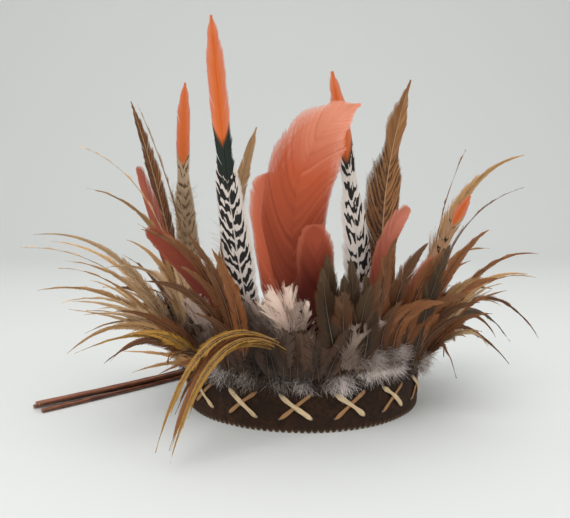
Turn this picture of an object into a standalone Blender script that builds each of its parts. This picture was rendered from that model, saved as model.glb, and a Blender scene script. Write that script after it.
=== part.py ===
"""Feathered headdress: a laced leather band that carries tail feathers, hackles and down.

The ring stands on its pinked lower edge. A place on it is an angle in degrees from the front (-Y),
growing towards +X. Lengths are in metres and +Z is up.
"""

import math
from typing import NamedTuple

import bpy
from mathutils import Matrix, Vector

# Leather band
RING_RADIUS = 0.0900
BAND_WALL = 0.0025
BAND_HEIGHT = 0.0500
TOOTH_PITCH = 0.00435
TOOTH_DEPTH = 0.0022
TOOTH_TIP = 0.0014
CLEARANCE = 0.0003

# Rawhide crosses
CROSS_COUNT = 15
CROSS_FIRST_PLACE = -4.3
CROSS_WIDTH = 0.0225
CROSS_HEIGHT = 0.0180
CROSS_CENTRE_Z = 0.0185
STRAP_WIDTH = 0.0040
STRAP_THICKNESS = 0.0011
STRAP_SECTIONS = 5

# Trim of down and body feathers
TRIM_ARCS = 6
TRIM_CELLS = 7
TRIM_REACH = 126.0
TRIM_ARC_GAP = 0.0008
TRIM_PAD_BOTTOM = 0.0340
TRIM_PAD_HEIGHT = 0.0080
TRIM_PAD_DEPTH = 0.0070
TRIM_LOCK_DEPTH = 0.0018
TRIM_UP_LENGTH = 0.0330
TRIM_UP_LEAN = 13.0
TRIM_DOWN_LENGTH = 0.0070

# Feathers
PLUME_LENGTH = 0.2000
LAYER_PITCH = 0.0016
QUILL_WIDTH = 0.0026
QUILL_THICKNESS = 0.0012
VANE_THICKNESS = 0.0013
VANE_SECTIONS = 11
VANE_CAMBER = 0.10
TWIST_SPREAD = 0.24
BARRED_WIDTH = 0.0220
CORAL_WIDTH = 0.0460
PHEASANT_WIDTH = 0.0250

# Hackle sprays
HACKLE_WIDTH = 0.0062
HACKLE_THICKNESS = 0.0010
HACKLE_SECTIONS = 6
SPRAY_CELL = 0.0062
SPRAY_BACKING = 0.0016
SPRAY_SEAT_HEIGHT = 0.0078

# Tie laces
KNOT_LENGTH = 0.0126
KNOT_RADIUS = 0.0058
KNOT_END_RADIUS = 0.0049
KNOT_GROOVE = 0.0008
KNOT_WRAPS = 3
KNOT_CENTRE_Z = 0.0380
KNOT_SIDES = 14
LACE_DIAMETER = 0.0034
LACE_STEP_DIAMETERS = 3.0
ROUTE_PIECES = 24


class Vane(NamedTuple):
    """Half-width of a vane, as a share of the widest half, at a share of the way along it."""

    along: float
    half: float


VANES = {
    "barred": (Vane(0.00, 0.12), Vane(0.10, 0.30), Vane(0.24, 0.86), Vane(0.42, 1.00), Vane(0.54, 0.88),
               Vane(0.62, 0.52), Vane(0.72, 0.60), Vane(0.86, 0.52), Vane(1.00, 0.12)),
    "coral": (Vane(0.00, 0.06), Vane(0.10, 0.16), Vane(0.22, 0.58), Vane(0.40, 0.92), Vane(0.60, 1.00),
              Vane(0.80, 0.90), Vane(0.93, 0.66), Vane(1.00, 0.34)),
    "curled": (Vane(0.00, 0.06), Vane(0.10, 0.16), Vane(0.22, 0.60), Vane(0.40, 0.98), Vane(0.60, 1.00),
               Vane(0.78, 0.80), Vane(0.92, 0.46), Vane(1.00, 0.10)),
    "folded": (Vane(0.00, 0.08), Vane(0.16, 0.30), Vane(0.32, 0.78), Vane(0.48, 1.00), Vane(0.64, 0.94),
               Vane(0.75, 0.40), Vane(0.85, 0.52), Vane(1.00, 0.08)),
    "pheasant": (Vane(0.00, 0.10), Vane(0.14, 0.28), Vane(0.34, 0.80), Vane(0.52, 1.00), Vane(0.70, 0.92),
                 Vane(0.88, 0.56), Vane(1.00, 0.08)),
}


class Feather(NamedTuple):
    """One feather. bend and tip are (out, side, rise) from its root, in plume lengths.

    The vane turns about itself by twist degrees, round about the share twist_at of its length.
    """

    name: str
    kind: str
    place: float
    layer: int
    width: float
    bend: tuple
    tip: tuple
    twist: float
    twist_at: float


FEATHERS = (
    Feather("barred_1", "barred", -20, 1, 1.00, (0.05, -0.085, 0.40), (0.10, -0.115, 1.10), 0, 0.2),
    Feather("barred_2", "barred", 23, 1, 0.95, (0.02, 0.015, 0.35), (0.04, -0.125, 0.925), 0, 0.2),
    Feather("barred_3", "barred", -118, 1, 0.85, (0.10, 0.07, 0.35), (0.08, 0.02, 1.00), -55, 0.2),
    Feather("barred_4", "barred", 62, 1, 0.80, (0.02, 0.00, 0.26), (0.18, 0.04, 0.54), -45, 0.2),
    Feather("coral_1", "curled", 0, 2, 1.00, (0.06, -0.145, 0.71), (0.10, 0.16, 0.82), 0, 0.2),
    Feather("coral_2", "coral", -9, 1, 0.70, (0.02, 0.01, 0.33), (0.03, -0.05, 0.59), 0, 0.2),
    Feather("coral_3", "coral", 4, 3, 0.52, (0.05, 0.00, 0.25), (0.11, -0.02, 0.44), 0, 0.2),
    Feather("coral_4", "coral", -82, 1, 0.40, (0.04, 0.01, 0.25), (0.16, 0.02, 0.63), 35, 0.12),
    Feather("coral_5", "coral", -33, 2, 0.50, (0.05, 0.01, 0.24), (0.17, -0.19, 0.42), 0, 0.2),
    Feather("coral_6", "coral", 33, 2, 0.46, (0.02, -0.08, 0.34), (0.10, 0.02, 0.50), 0, 0.2),
    Feather("coral_7", "coral", 52, 2, 0.42, (0.02, -0.08, 0.19), (0.10, -0.01, 0.32), -25, 0.2),
    Feather("pheasant_1", "pheasant", -92, 1, 0.66, (0.07, 0.01, 0.50), (0.21, -0.01, 0.90), 50, 0.2),
    Feather("pheasant_2", "folded", 42, 1, 1.35, (-0.03, -0.12, 0.46), (0.05, 0.01, 0.92), 0, 0.2),
    Feather("pheasant_3", "pheasant", -48, 1, 0.45, (-0.04, 0.07, 0.48), (-0.10, 0.15, 0.77), 30, 0.2),
    Feather("pheasant_4", "pheasant", -106, 1, 0.36, (0.02, 0.00, 0.44), (0.23, 0.03, 0.91), 30, 0.2),
)


class Spray(NamedTuple):
    """A spray of hackles on one backing. Each lock is (bend, tip), as a feather's are."""

    name: str
    place: float
    layer: int
    locks: tuple


SPRAYS = (
    Spray("hackle_left_high", -66, 3, (
        ((0.03, 0.00, 0.60), (0.33, -0.18, 0.73)),
        ((0.03, 0.03, 0.50), (0.33, -0.10, 0.57)),
        ((0.03, 0.08, 0.34), (0.18, 0.02, 0.45)))),
    Spray("hackle_left_fan", -60, 4, (
        ((0.17, -0.07, 0.50), (0.46, -0.29, 0.45)),
        ((0.22, -0.05, 0.41), (0.52, -0.23, 0.40)),
        ((0.20, -0.01, 0.35), (0.42, -0.12, 0.33)),
        ((0.21, 0.04, 0.30), (0.44, -0.06, 0.23)))),
    Spray("hackle_left_low", -44, 4, (
        ((0.21, -0.08, 0.27), (0.38, -0.25, 0.05)),
        ((0.14, -0.05, 0.20), (0.24, -0.15, 0.19)),
        ((0.15, 0.01, 0.15), (0.22, -0.05, 0.14)),
        ((0.15, 0.04, 0.12), (0.20, -0.01, 0.05)))),
    Spray("hackle_gold", 2, 4, (
        ((0.12, -0.29, 0.23), (0.20, -0.42, -0.06)),
        ((0.15, -0.34, 0.37), (0.25, -0.49, -0.16)))),
    Spray("hackle_front_left", -27, 4, (
        ((0.12, 0.02, 0.34), (0.18, -0.22, 0.48)),
        ((0.11, 0.04, 0.31), (0.16, -0.10, 0.48)),
        ((0.10, 0.06, 0.27), (0.16, -0.02, 0.42)))),
    Spray("hackle_front_right", 17, 4, (
        ((0.08, -0.07, 0.22), (0.13, -0.10, 0.40)),
        ((0.08, -0.04, 0.20), (0.14, -0.06, 0.37)),
        ((0.08, 0.00, 0.19), (0.14, -0.01, 0.34)))),
    Spray("hackle_inner_right", 36, 4, (
        ((0.09, -0.15, 0.29), (0.15, -0.09, 0.46)),
        ((0.09, -0.10, 0.31), (0.15, 0.00, 0.47)),
        ((0.09, -0.05, 0.30), (0.15, 0.07, 0.41)))),
    Spray("hackle_right_high", 76, 3, (
        ((0.02, 0.00, 0.46), (0.14, 0.04, 0.71)),
        ((0.05, 0.02, 0.62), (0.36, 0.10, 0.68)))),
    Spray("hackle_right_mid", 52, 4, (
        ((0.11, -0.12, 0.28), (0.16, -0.08, 0.44)),
        ((0.12, -0.05, 0.38), (0.24, 0.05, 0.47)))),
    Spray("hackle_right_fan", 70, 4, (
        ((0.12, -0.16, 0.22), (0.24, -0.14, 0.20)),
        ((0.12, -0.12, 0.26), (0.26, -0.08, 0.27)),
        ((0.14, -0.08, 0.34), (0.34, 0.04, 0.30)),
        ((0.16, -0.04, 0.42), (0.38, 0.13, 0.35)))),
    Spray("hackle_right_low", 88, 4, (
        ((0.08, -0.06, 0.10), (0.08, -0.12, 0.04)),
        ((0.12, -0.06, 0.12), (0.14, -0.06, 0.13)),
        ((0.22, -0.06, 0.36), (0.44, -0.02, 0.03)))),
    Spray("hackle_back_left", -108, 4, (
        ((0.10, -0.06, 0.22), (0.26, -0.14, 0.24)),
        ((0.12, 0.00, 0.28), (0.30, -0.02, 0.32)),
        ((0.12, 0.05, 0.22), (0.28, 0.10, 0.20)))),
    Spray("hackle_back_right", 110, 4, (
        ((0.12, -0.05, 0.22), (0.28, -0.10, 0.20)),
        ((0.12, 0.00, 0.28), (0.30, 0.02, 0.30)),
        ((0.10, 0.06, 0.22), (0.26, 0.14, 0.22)))),
)


class Lace(NamedTuple):
    """A lace's places in the bundle, (across, up) from the route, where it starts and where it ends."""

    name: str
    start: tuple
    end: tuple


# The route of the bundle of laces, from the knot's end to the cut tips, in metres about the ring's centre
LACE_ROUTE = (
    (-0.0066, 0.0962, 0.0380), (-0.0160, 0.0962, 0.0380), (-0.0310, 0.0958, 0.0300), (-0.0480, 0.0915, 0.0180),
    (-0.0680, 0.0810, 0.0095), (-0.0900, 0.0640, 0.0052), (-0.1120, 0.0410, 0.0039), (-0.1370, 0.0150, 0.0039),
    (-0.1660, -0.0130, 0.0039), (-0.1960, -0.0410, 0.0039),
)

LACES = (
    Lace("lace_1", (0.00195, 0.00195), (0.0022, 0.0012)),
    Lace("lace_2", (-0.00195, 0.00195), (-0.0024, 0.0019)),
    Lace("lace_3", (0.00195, -0.00195), (0.0068, -0.0020)),
    Lace("lace_4", (-0.00195, -0.00195), (-0.0072, -0.0020)),
)

# Base colour, roughness and metallic of each finish
FINISHES = {
    "band leather": ((0.032, 0.020, 0.014, 1.0), 0.80, 0.0),
    "rawhide": ((0.500, 0.360, 0.200, 1.0), 0.65, 0.0),
    "down": ((0.360, 0.320, 0.300, 1.0), 0.95, 0.0),
    "barred feather": ((0.520, 0.470, 0.420, 1.0), 0.70, 0.0),
    "coral feather": ((0.560, 0.120, 0.070, 1.0), 0.70, 0.0),
    "brown feather": ((0.180, 0.100, 0.050, 1.0), 0.70, 0.0),
    "hackle": ((0.240, 0.120, 0.040, 1.0), 0.55, 0.0),
    "lace leather": ((0.130, 0.042, 0.022, 1.0), 0.60, 0.0),
}


def clear_scene() -> None:
    """Removes what the scene holds at the start."""
    for item in list(bpy.data.objects):
        bpy.data.objects.remove(item)


def finish(name: str) -> bpy.types.Material:
    """Returns the material of a finish, made at its first use."""
    material = bpy.data.materials.get(name)
    if material is None:
        color, roughness, metallic = FINISHES[name]
        material = bpy.data.materials.new(name)
        material.use_nodes = True
        shader = material.node_tree.nodes["Principled BSDF"]
        shader.inputs["Base Color"].default_value = color
        shader.inputs["Roughness"].default_value = roughness
        shader.inputs["Metallic"].default_value = metallic
    return material


def add_mesh(name: str, points: list, faces: list) -> bpy.types.Mesh:
    """Returns a mesh of the given points and faces."""
    mesh = bpy.data.meshes.new(name)
    mesh.from_pydata([tuple(point) for point in points], [], faces)
    mesh.validate()
    return mesh


def add_object(name: str, data: bpy.types.ID, finish_name: str, parent: bpy.types.Object) -> bpy.types.Object:
    """Links one named piece, with its finish, under its parent."""
    if not data.materials:
        data.materials.append(finish(finish_name))
    item = bpy.data.objects.new(name, data)
    bpy.context.collection.objects.link(item)
    item.parent = parent
    return item


def ring_point(place: float, radius: float, height: float) -> Vector:
    """Returns the point at a place on the ring, in degrees from the front."""
    angle = math.radians(place)
    return Vector((radius * math.sin(angle), -radius * math.cos(angle), height))


def ring_axes(place: float) -> tuple:
    """Returns the outward and the sideways direction at a place on the ring."""
    angle = math.radians(place)
    return Vector((math.sin(angle), -math.cos(angle), 0.0)), Vector((math.cos(angle), math.sin(angle), 0.0))


def offset(place: float, shares: tuple) -> Vector:
    """Turns (out, side, rise) in plume lengths into a vector at a place on the ring."""
    outward, sideways = ring_axes(place)
    out, side, rise = shares
    return PLUME_LENGTH * (outward * out + sideways * side + Vector((0.0, 0.0, rise)))


def bow(start: Vector, bend: Vector, tip: Vector, share: float) -> Vector:
    """Returns a point on the bow from start to tip that is drawn towards start + bend."""
    rest = 1.0 - share
    return rest * rest * start + 2.0 * rest * share * (start + bend) + share * share * (start + tip)


def ease(share: float) -> float:
    """Returns a smooth step from 0 to 1."""
    share = min(max(share, 0.0), 1.0)
    return share * share * (3.0 - 2.0 * share)


def carried_sides(points: list, side: Vector, twist: float = 0.0, twist_at: float = 0.5) -> list:
    """Carries a sideways direction along a path without turning about it, then adds the twist."""
    sides = []
    for index, point in enumerate(points):
        before = points[max(index - 1, 0)]
        after = points[min(index + 1, len(points) - 1)]
        heading = (after - before).normalized()
        side = (side - heading * side.dot(heading)).normalized()
        turn = math.radians(twist) * ease((index / (len(points) - 1) - twist_at) / TWIST_SPREAD + 0.5)
        sides.append((Matrix.Rotation(turn, 3, heading) @ side, heading))
    return sides


def vane_half(kind: str, along: float) -> float:
    """Returns the half-width share of a vane at a share of the way along it."""
    table = VANES[kind]
    for low, high in zip(table, table[1:]):
        if along <= high.along:
            return low.half + (high.half - low.half) * ease((along - low.along) / (high.along - low.along))
    return table[-1].half


def join_sections(faces: list, low: tuple, high: tuple) -> None:
    """Adds the four sides between two sections of four points each."""
    for index in range(4):
        after = (index + 1) % 4
        faces.append((low[index], low[after], high[after], high[index]))


def close_at_point(faces: list, last: tuple, tip: int) -> None:
    """Closes a section of four points at a tip."""
    for index in range(4):
        faces.append((last[index], last[(index + 1) % 4], tip))


def build_band(parent: bpy.types.Object) -> None:
    """Builds the band: a ring whose lower edge is cut in teeth with flat tips."""
    teeth = round(2.0 * math.pi * RING_RADIUS / TOOTH_PITCH)
    tooth_angle = 360.0 / teeth
    tip_angle = math.degrees(TOOTH_TIP / RING_RADIUS)
    notch_angle = tooth_angle - tip_angle
    points = []
    for radius in (RING_RADIUS, RING_RADIUS - BAND_WALL):
        for tooth in range(teeth):
            place = tooth * tooth_angle
            points.append(ring_point(place, radius, BAND_HEIGHT))
            points.append(ring_point(place, radius, TOOTH_DEPTH))
            points.append(ring_point(place + notch_angle / 2.0, radius, 0.0))
            points.append(ring_point(place + notch_angle / 2.0 + tip_angle, radius, 0.0))
    faces = []
    inner = 4 * teeth
    for tooth in range(teeth):
        top, root, tip_start, tip_end = (4 * tooth + part for part in range(4))
        next_top = 4 * ((tooth + 1) % teeth)
        next_root = next_top + 1
        wall = ((top, root, tip_start), (top, tip_start, tip_end), (top, tip_end, next_top),
                (next_top, tip_end, next_root))
        for face in wall:
            faces.append(face)
            faces.append(tuple(inner + point for point in reversed(face)))
        edge = ((root, tip_start), (tip_start, tip_end), (tip_end, next_root), (next_top, top))
        for start, end in edge:
            faces.append((end, start, inner + start, inner + end))
    add_object("band", add_mesh("band", points, faces), "band leather", parent)


def strap_mesh(name: str, slope: float, crossing: float) -> bpy.types.Mesh:
    """Returns a flat strap that crosses the band's face, lifted by crossing at its middle."""
    width_angle = math.degrees(CROSS_WIDTH / RING_RADIUS)
    length = math.hypot(CROSS_WIDTH, CROSS_HEIGHT)
    across_place = math.degrees(STRAP_WIDTH / 2.0 * CROSS_HEIGHT / length / RING_RADIUS)
    across_rise = STRAP_WIDTH / 2.0 * CROSS_WIDTH / length
    points = []
    faces = []
    for section in range(STRAP_SECTIONS):
        share = section / (STRAP_SECTIONS - 1) - 0.5
        inner = RING_RADIUS + CLEARANCE + crossing * math.cos(math.pi * share) ** 2
        for side, radius in ((-1, inner), (1, inner), (1, inner + STRAP_THICKNESS), (-1, inner + STRAP_THICKNESS)):
            place = share * width_angle - side * slope * across_place
            height = CROSS_CENTRE_Z + slope * share * CROSS_HEIGHT + side * across_rise
            points.append(ring_point(place, radius, height))
        if section:
            low = tuple(4 * (section - 1) + part for part in range(4))
            high = tuple(4 * section + part for part in range(4))
            join_sections(faces, high, low)
    faces.append((0, 1, 2, 3))
    last = 4 * (STRAP_SECTIONS - 1)
    faces.append((last + 3, last + 2, last + 1, last))
    return add_mesh(name, points, faces)


def build_crosses(parent: bpy.types.Object) -> None:
    """Builds one cross of two straps and stands its copies round the band."""
    under = add_object("cross_under", strap_mesh("cross_under", 1.0, 0.0), "rawhide", parent)
    over = add_object("cross_over", strap_mesh("cross_over", -1.0, 0.9 * STRAP_THICKNESS), "rawhide", parent)
    union = under.modifiers.new("union", "BOOLEAN")
    union.operation = "UNION"
    union.object = over
    depsgraph = bpy.context.evaluated_depsgraph_get()
    cross = bpy.data.meshes.new_from_object(under.evaluated_get(depsgraph))
    cross.name = "cross"
    for item in (under, over):
        bpy.data.objects.remove(item)
    for index in range(CROSS_COUNT):
        item = add_object(f"cross_stitch_{index + 1:02d}", cross, "rawhide", parent)
        place = CROSS_FIRST_PLACE + 360.0 * index / CROSS_COUNT
        item.rotation_euler.z = math.radians(place)


def build_trim(parent: bpy.types.Object) -> None:
    """Builds the arcs of down and body feathers, each a pad with locks that rise and hang from it."""
    arc = 2.0 * TRIM_REACH / TRIM_ARCS
    inner = RING_RADIUS + CLEARANCE
    outer = inner + TRIM_PAD_DEPTH
    shelf = outer - TRIM_LOCK_DEPTH
    top = TRIM_PAD_BOTTOM + TRIM_PAD_HEIGHT
    gap = math.degrees(TRIM_ARC_GAP / RING_RADIUS)
    cell = (arc - gap) / TRIM_CELLS
    profile = ((inner, TRIM_PAD_BOTTOM), (outer, TRIM_PAD_BOTTOM), (outer, top), (shelf, top), (inner, top))
    for index in range(TRIM_ARCS):
        first = -TRIM_REACH + index * arc + gap / 2.0
        points = [ring_point(first + step * cell, radius, height)
                  for step in range(TRIM_CELLS + 1) for radius, height in profile]
        faces = [tuple(range(5)), tuple(5 * TRIM_CELLS + part for part in reversed(range(5)))]
        for step in range(TRIM_CELLS):
            near = 5 * step
            far = near + 5
            for low, high in ((1, 2), (3, 4), (4, 0)):
                faces.append((near + low, far + low, far + high, near + high))
            place = first + (step + 0.5) * cell
            rank = index * TRIM_CELLS + step
            rising = (near + 3, near + 2, far + 2, far + 3)
            lock_up(points, faces, rising, place, rank)
            hanging = (near + 1, near + 0, far + 0, far + 1)
            lock_down(points, faces, hanging, place, rank)
        add_object(f"trim_{index + 1}", add_mesh("trim", points, faces), "down", parent)


def add_section(points: list, centre: Vector, across: Vector, through: Vector) -> tuple:
    """Adds a flat section, in the turn (inner left, outer left, outer right, inner right)."""
    first = len(points)
    points.extend((centre - across - through, centre - across + through, centre + across + through,
                   centre + across - through))
    return tuple(first + part for part in range(4))


def lock_up(points: list, faces: list, base: tuple, place: float, rank: int) -> None:
    """Adds a lock that rises from four points of the trim's pad."""
    outward, sideways = ring_axes(place)
    start = sum((points[index] for index in base), Vector()) / 4.0
    length = TRIM_UP_LENGTH * (1.0 + 0.16 * math.sin(2.4 * rank))
    lean = math.radians(TRIM_UP_LEAN)
    heading = outward * math.sin(lean) + Vector((0.0, 0.0, math.cos(lean)))
    drift = sideways * 0.10 * math.sin(1.7 * rank)
    middle = start + (heading + drift * 0.5) * 0.66 * length
    half = 0.5 * (points[base[3]] - points[base[0]]).length
    section = add_section(points, middle, sideways * 0.84 * half, outward * 0.40 * TRIM_LOCK_DEPTH)
    join_sections(faces, base, section)
    points.append(start + (heading + drift) * length)
    close_at_point(faces, section, len(points) - 1)


def lock_down(points: list, faces: list, base: tuple, place: float, rank: int) -> None:
    """Adds a lock that hangs from four points of the trim's pad."""
    outward = ring_axes(place)[0]
    start = sum((points[index] for index in base), Vector()) / 4.0
    length = TRIM_DOWN_LENGTH * (1.0 + 0.20 * math.sin(2.9 * rank))
    points.append(start + outward * 0.1 * TRIM_PAD_DEPTH - Vector((0.0, 0.0, length)))
    close_at_point(faces, base, len(points) - 1)


def layer_radius(layer: int) -> float:
    """Returns the distance from the ring's centre to the middle of a layer of quills."""
    return RING_RADIUS + CLEARANCE + QUILL_THICKNESS / 2.0 + (layer - 1) * LAYER_PITCH


def build_feather(feather: Feather, parent: bpy.types.Object) -> None:
    """Builds a feather: a quill on the trim's pad and a vane that is thickest along its middle."""
    kinds = {"barred": (BARRED_WIDTH, "barred feather"), "coral": (CORAL_WIDTH, "coral feather"),
             "curled": (CORAL_WIDTH, "coral feather"), "pheasant": (PHEASANT_WIDTH, "brown feather"),
             "folded": (PHEASANT_WIDTH, "brown feather")}
    width, finish_name = kinds[feather.kind]
    outward, sideways = ring_axes(feather.place)
    quill_end = TRIM_PAD_BOTTOM + TRIM_PAD_HEIGHT + CLEARANCE
    radius = layer_radius(feather.layer)
    root = ring_point(feather.place, radius, BAND_HEIGHT)
    bend = offset(feather.place, feather.bend)
    tip = offset(feather.place, feather.tip)
    shares = [section / VANE_SECTIONS for section in range(VANE_SECTIONS + 1)]
    path = [ring_point(feather.place, radius, quill_end)] + [bow(root, bend, tip, share) for share in shares]
    frames = carried_sides(path, sideways, feather.twist, feather.twist_at)
    half_width = 0.5 * width * feather.width
    points = []
    faces = []
    before = None
    for index, (centre, (side, heading)) in enumerate(zip(path, frames)):
        through = heading.cross(side)
        if index < 2:
            half, thickness = 0.5 * QUILL_WIDTH, QUILL_THICKNESS
        else:
            half = half_width * vane_half(feather.kind, shares[index - 1])
            thickness = VANE_THICKNESS * (1.0 - 0.4 * shares[index - 1])
        edge = through * (VANE_CAMBER * half * (index > 1))
        first = len(points)
        points.extend((centre - side * half + edge, centre - through * thickness / 2.0,
                       centre + side * half + edge, centre + through * thickness / 2.0))
        section = tuple(first + part for part in range(4))
        if before is None:
            faces.append(section[::-1])
        else:
            join_sections(faces, before, section)
        before = section
    faces.append(before)
    add_object(feather.name, add_mesh(feather.name, points, faces), finish_name, parent)


def build_spray(spray: Spray, parent: bpy.types.Object) -> None:
    """Builds a spray: a small curved backing whose top carries one lock in each cell."""
    if spray.layer > 3:
        inner = RING_RADIUS + 2.0 * CLEARANCE + TRIM_PAD_DEPTH
        bottom = TRIM_PAD_BOTTOM
    else:
        inner = layer_radius(spray.layer) - SPRAY_BACKING / 2.0
        bottom = TRIM_PAD_BOTTOM + TRIM_PAD_HEIGHT + CLEARANCE
    outer = inner + SPRAY_BACKING
    cells = len(spray.locks)
    cell = math.degrees(SPRAY_CELL / inner)
    first = spray.place - cells * cell / 2.0
    top = bottom + SPRAY_SEAT_HEIGHT
    profile = ((inner, bottom), (outer, bottom), (outer, top), (inner, top))
    points = [ring_point(first + step * cell, radius, height)
              for step in range(cells + 1) for radius, height in profile]
    faces = [tuple(range(4)), tuple(4 * cells + part for part in reversed(range(4)))]
    for step, (bend_shares, tip_shares) in enumerate(spray.locks):
        near = 4 * step
        far = near + 4
        for low, high in ((0, 1), (1, 2), (3, 0)):
            faces.append((near + low, far + low, far + high, near + high))
        base = (near + 3, near + 2, far + 2, far + 3)
        place = first + (step + 0.5) * cell
        start = sum((points[index] for index in base), Vector()) / 4.0
        bend = offset(spray.place, bend_shares)
        tip = offset(spray.place, tip_shares)
        path = [bow(start, bend, tip, part / HACKLE_SECTIONS) for part in range(HACKLE_SECTIONS + 1)]
        frames = carried_sides(path, ring_axes(place)[1])
        before = base
        for part in range(1, HACKLE_SECTIONS):
            side, heading = frames[part]
            share = part / HACKLE_SECTIONS
            half = 0.5 * HACKLE_WIDTH * (1.0 - 0.70 * share ** 2)
            depth = 0.5 * HACKLE_THICKNESS * (1.0 - 0.4 * share)
            section = add_section(points, path[part], side * half, side.cross(heading) * depth)
            join_sections(faces, before, section)
            before = section
        points.append(path[-1])
        close_at_point(faces, before, len(points) - 1)
    add_object(spray.name, add_mesh(spray.name, points, faces), "hackle", parent)


def build_knot(parent: bpy.types.Object) -> None:
    """Builds the knot at the back of the band: a wrapped barrel with flat ends."""
    centre = Vector((0.0, RING_RADIUS + CLEARANCE + KNOT_RADIUS, KNOT_CENTRE_Z))
    profile = [(-0.5, KNOT_END_RADIUS)]
    for wrap in range(KNOT_WRAPS):
        for share, radius in ((0.5, KNOT_RADIUS), (1.0, KNOT_RADIUS - KNOT_GROOVE)):
            profile.append(((wrap + share) / KNOT_WRAPS - 0.5, radius))
    profile[-1] = (0.5, KNOT_END_RADIUS)
    points = []
    faces = []
    for ring, (along, radius) in enumerate(profile):
        for side in range(KNOT_SIDES):
            angle = 2.0 * math.pi * side / KNOT_SIDES
            spoke = Vector((along * KNOT_LENGTH, radius * math.cos(angle), radius * math.sin(angle)))
            points.append(centre + spoke)
            if ring:
                after = (side + 1) % KNOT_SIDES
                low = KNOT_SIDES * (ring - 1)
                high = KNOT_SIDES * ring
                faces.append((low + side, high + side, high + after, low + after))
    faces.append(tuple(range(KNOT_SIDES)))
    last = KNOT_SIDES * (len(profile) - 1)
    faces.append(tuple(last + side for side in reversed(range(KNOT_SIDES))))
    faces = [face[::-1] for face in faces]
    add_object("lace_knot", add_mesh("lace_knot", points, faces), "lace leather", parent)


def smooth_route(route: tuple, step: float) -> list:
    """Returns points at about one step apart on a smooth curve through the route's points."""
    knots = [Vector(point) for point in route]
    fine = []
    for index in range(len(knots) - 1):
        start, end = knots[index], knots[index + 1]
        before = knots[index - 1] if index else 2.0 * start - end
        after = knots[index + 2] if index + 2 < len(knots) else 2.0 * end - start
        for piece in range(ROUTE_PIECES):
            part = piece / ROUTE_PIECES
            fine.append(0.5 * (2.0 * start + (end - before) * part
                               + (2.0 * before - 5.0 * start + 4.0 * end - after) * part ** 2
                               + (3.0 * start - before - 3.0 * end + after) * part ** 3))
    fine.append(knots[-1])
    lengths = [0.0]
    for low, high in zip(fine, fine[1:]):
        lengths.append(lengths[-1] + (high - low).length)
    count = round(lengths[-1] / step)
    spaced = []
    index = 0
    for number in range(count + 1):
        reach = lengths[-1] * number / count
        while index < len(fine) - 2 and lengths[index + 1] < reach:
            index += 1
        part = (reach - lengths[index]) / (lengths[index + 1] - lengths[index])
        spaced.append(fine[index].lerp(fine[index + 1], min(part, 1.0)))
    return spaced


def build_laces(parent: bpy.types.Object) -> None:
    """Builds the loose laces side by side along their route, fanned out towards their tips."""
    centres = smooth_route(LACE_ROUTE, LACE_DIAMETER * LACE_STEP_DIAMETERS)
    for lace in LACES:
        curve = bpy.data.curves.new(lace.name, "CURVE")
        curve.dimensions = "3D"
        curve.bevel_depth = LACE_DIAMETER / 2.0
        curve.bevel_resolution = 2
        curve.use_fill_caps = True
        spline = curve.splines.new("POLY")
        spline.points.add(len(centres) - 1)
        for index, centre in enumerate(centres):
            share = index / (len(centres) - 1)
            heading = (centres[min(index + 1, len(centres) - 1)] - centres[max(index - 1, 0)]).normalized()
            across = heading.cross(Vector((0.0, 0.0, 1.0))).normalized()
            aside = lace.start[0] + (lace.end[0] - lace.start[0]) * share ** 2
            above = lace.start[1] + (lace.end[1] - lace.start[1]) * share ** 2
            spline.points[index].co = (centre + across * aside + across.cross(heading) * above).to_4d()
        add_object(lace.name, curve, "lace leather", parent)


def centre_on_floor(parent: bpy.types.Object) -> None:
    """Moves the parent so that the worn piece, without its loose laces, is centred over the origin."""
    bpy.context.view_layer.update()
    corners = [item.matrix_world @ vertex.co for item in parent.children
               if item.type == "MESH" for vertex in item.data.vertices]
    low_x, high_x = min(corner.x for corner in corners), max(corner.x for corner in corners)
    low_y, high_y = min(corner.y for corner in corners), max(corner.y for corner in corners)
    parent.location = (-(low_x + high_x) / 2.0, -(low_y + high_y) / 2.0, 0.0)
    bpy.context.view_layer.update()


def main() -> None:
    """Builds the headdress."""
    clear_scene()
    headdress = bpy.data.objects.new("headdress", None)
    bpy.context.collection.objects.link(headdress)
    build_band(headdress)
    build_crosses(headdress)
    build_trim(headdress)
    for feather in FEATHERS:
        build_feather(feather, headdress)
    for spray in SPRAYS:
        build_spray(spray, headdress)
    build_knot(headdress)
    build_laces(headdress)
    centre_on_floor(headdress)


main()
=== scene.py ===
"""Looks of the feathered headdress: tail feathers, hackles, down, laced leather band and tie laces.

Lengths are in metres. A place on the ring is an angle in degrees from the front (-Y), growing towards +X.
A feather's barbs are ribbons that leave its shaft, so that its colours can follow them.
"""

import logging
import math
from dataclasses import dataclass, field, replace
from enum import Enum
from typing import Any, NamedTuple

import bpy
import numpy as np
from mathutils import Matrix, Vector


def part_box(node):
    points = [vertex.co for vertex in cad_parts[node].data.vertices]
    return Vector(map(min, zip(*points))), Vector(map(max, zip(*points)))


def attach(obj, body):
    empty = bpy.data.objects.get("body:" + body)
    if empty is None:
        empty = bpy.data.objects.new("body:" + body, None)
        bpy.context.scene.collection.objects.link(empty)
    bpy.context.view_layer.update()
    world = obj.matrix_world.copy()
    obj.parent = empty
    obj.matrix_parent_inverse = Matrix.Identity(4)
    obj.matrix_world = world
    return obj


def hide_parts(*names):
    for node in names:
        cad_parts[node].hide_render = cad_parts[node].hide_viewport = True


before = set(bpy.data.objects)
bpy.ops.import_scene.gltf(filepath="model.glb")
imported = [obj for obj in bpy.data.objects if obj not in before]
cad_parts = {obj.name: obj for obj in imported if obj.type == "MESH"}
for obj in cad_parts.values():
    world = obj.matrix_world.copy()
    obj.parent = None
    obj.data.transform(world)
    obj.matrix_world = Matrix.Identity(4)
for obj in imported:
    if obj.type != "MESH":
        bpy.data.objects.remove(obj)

Array = np.ndarray
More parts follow.
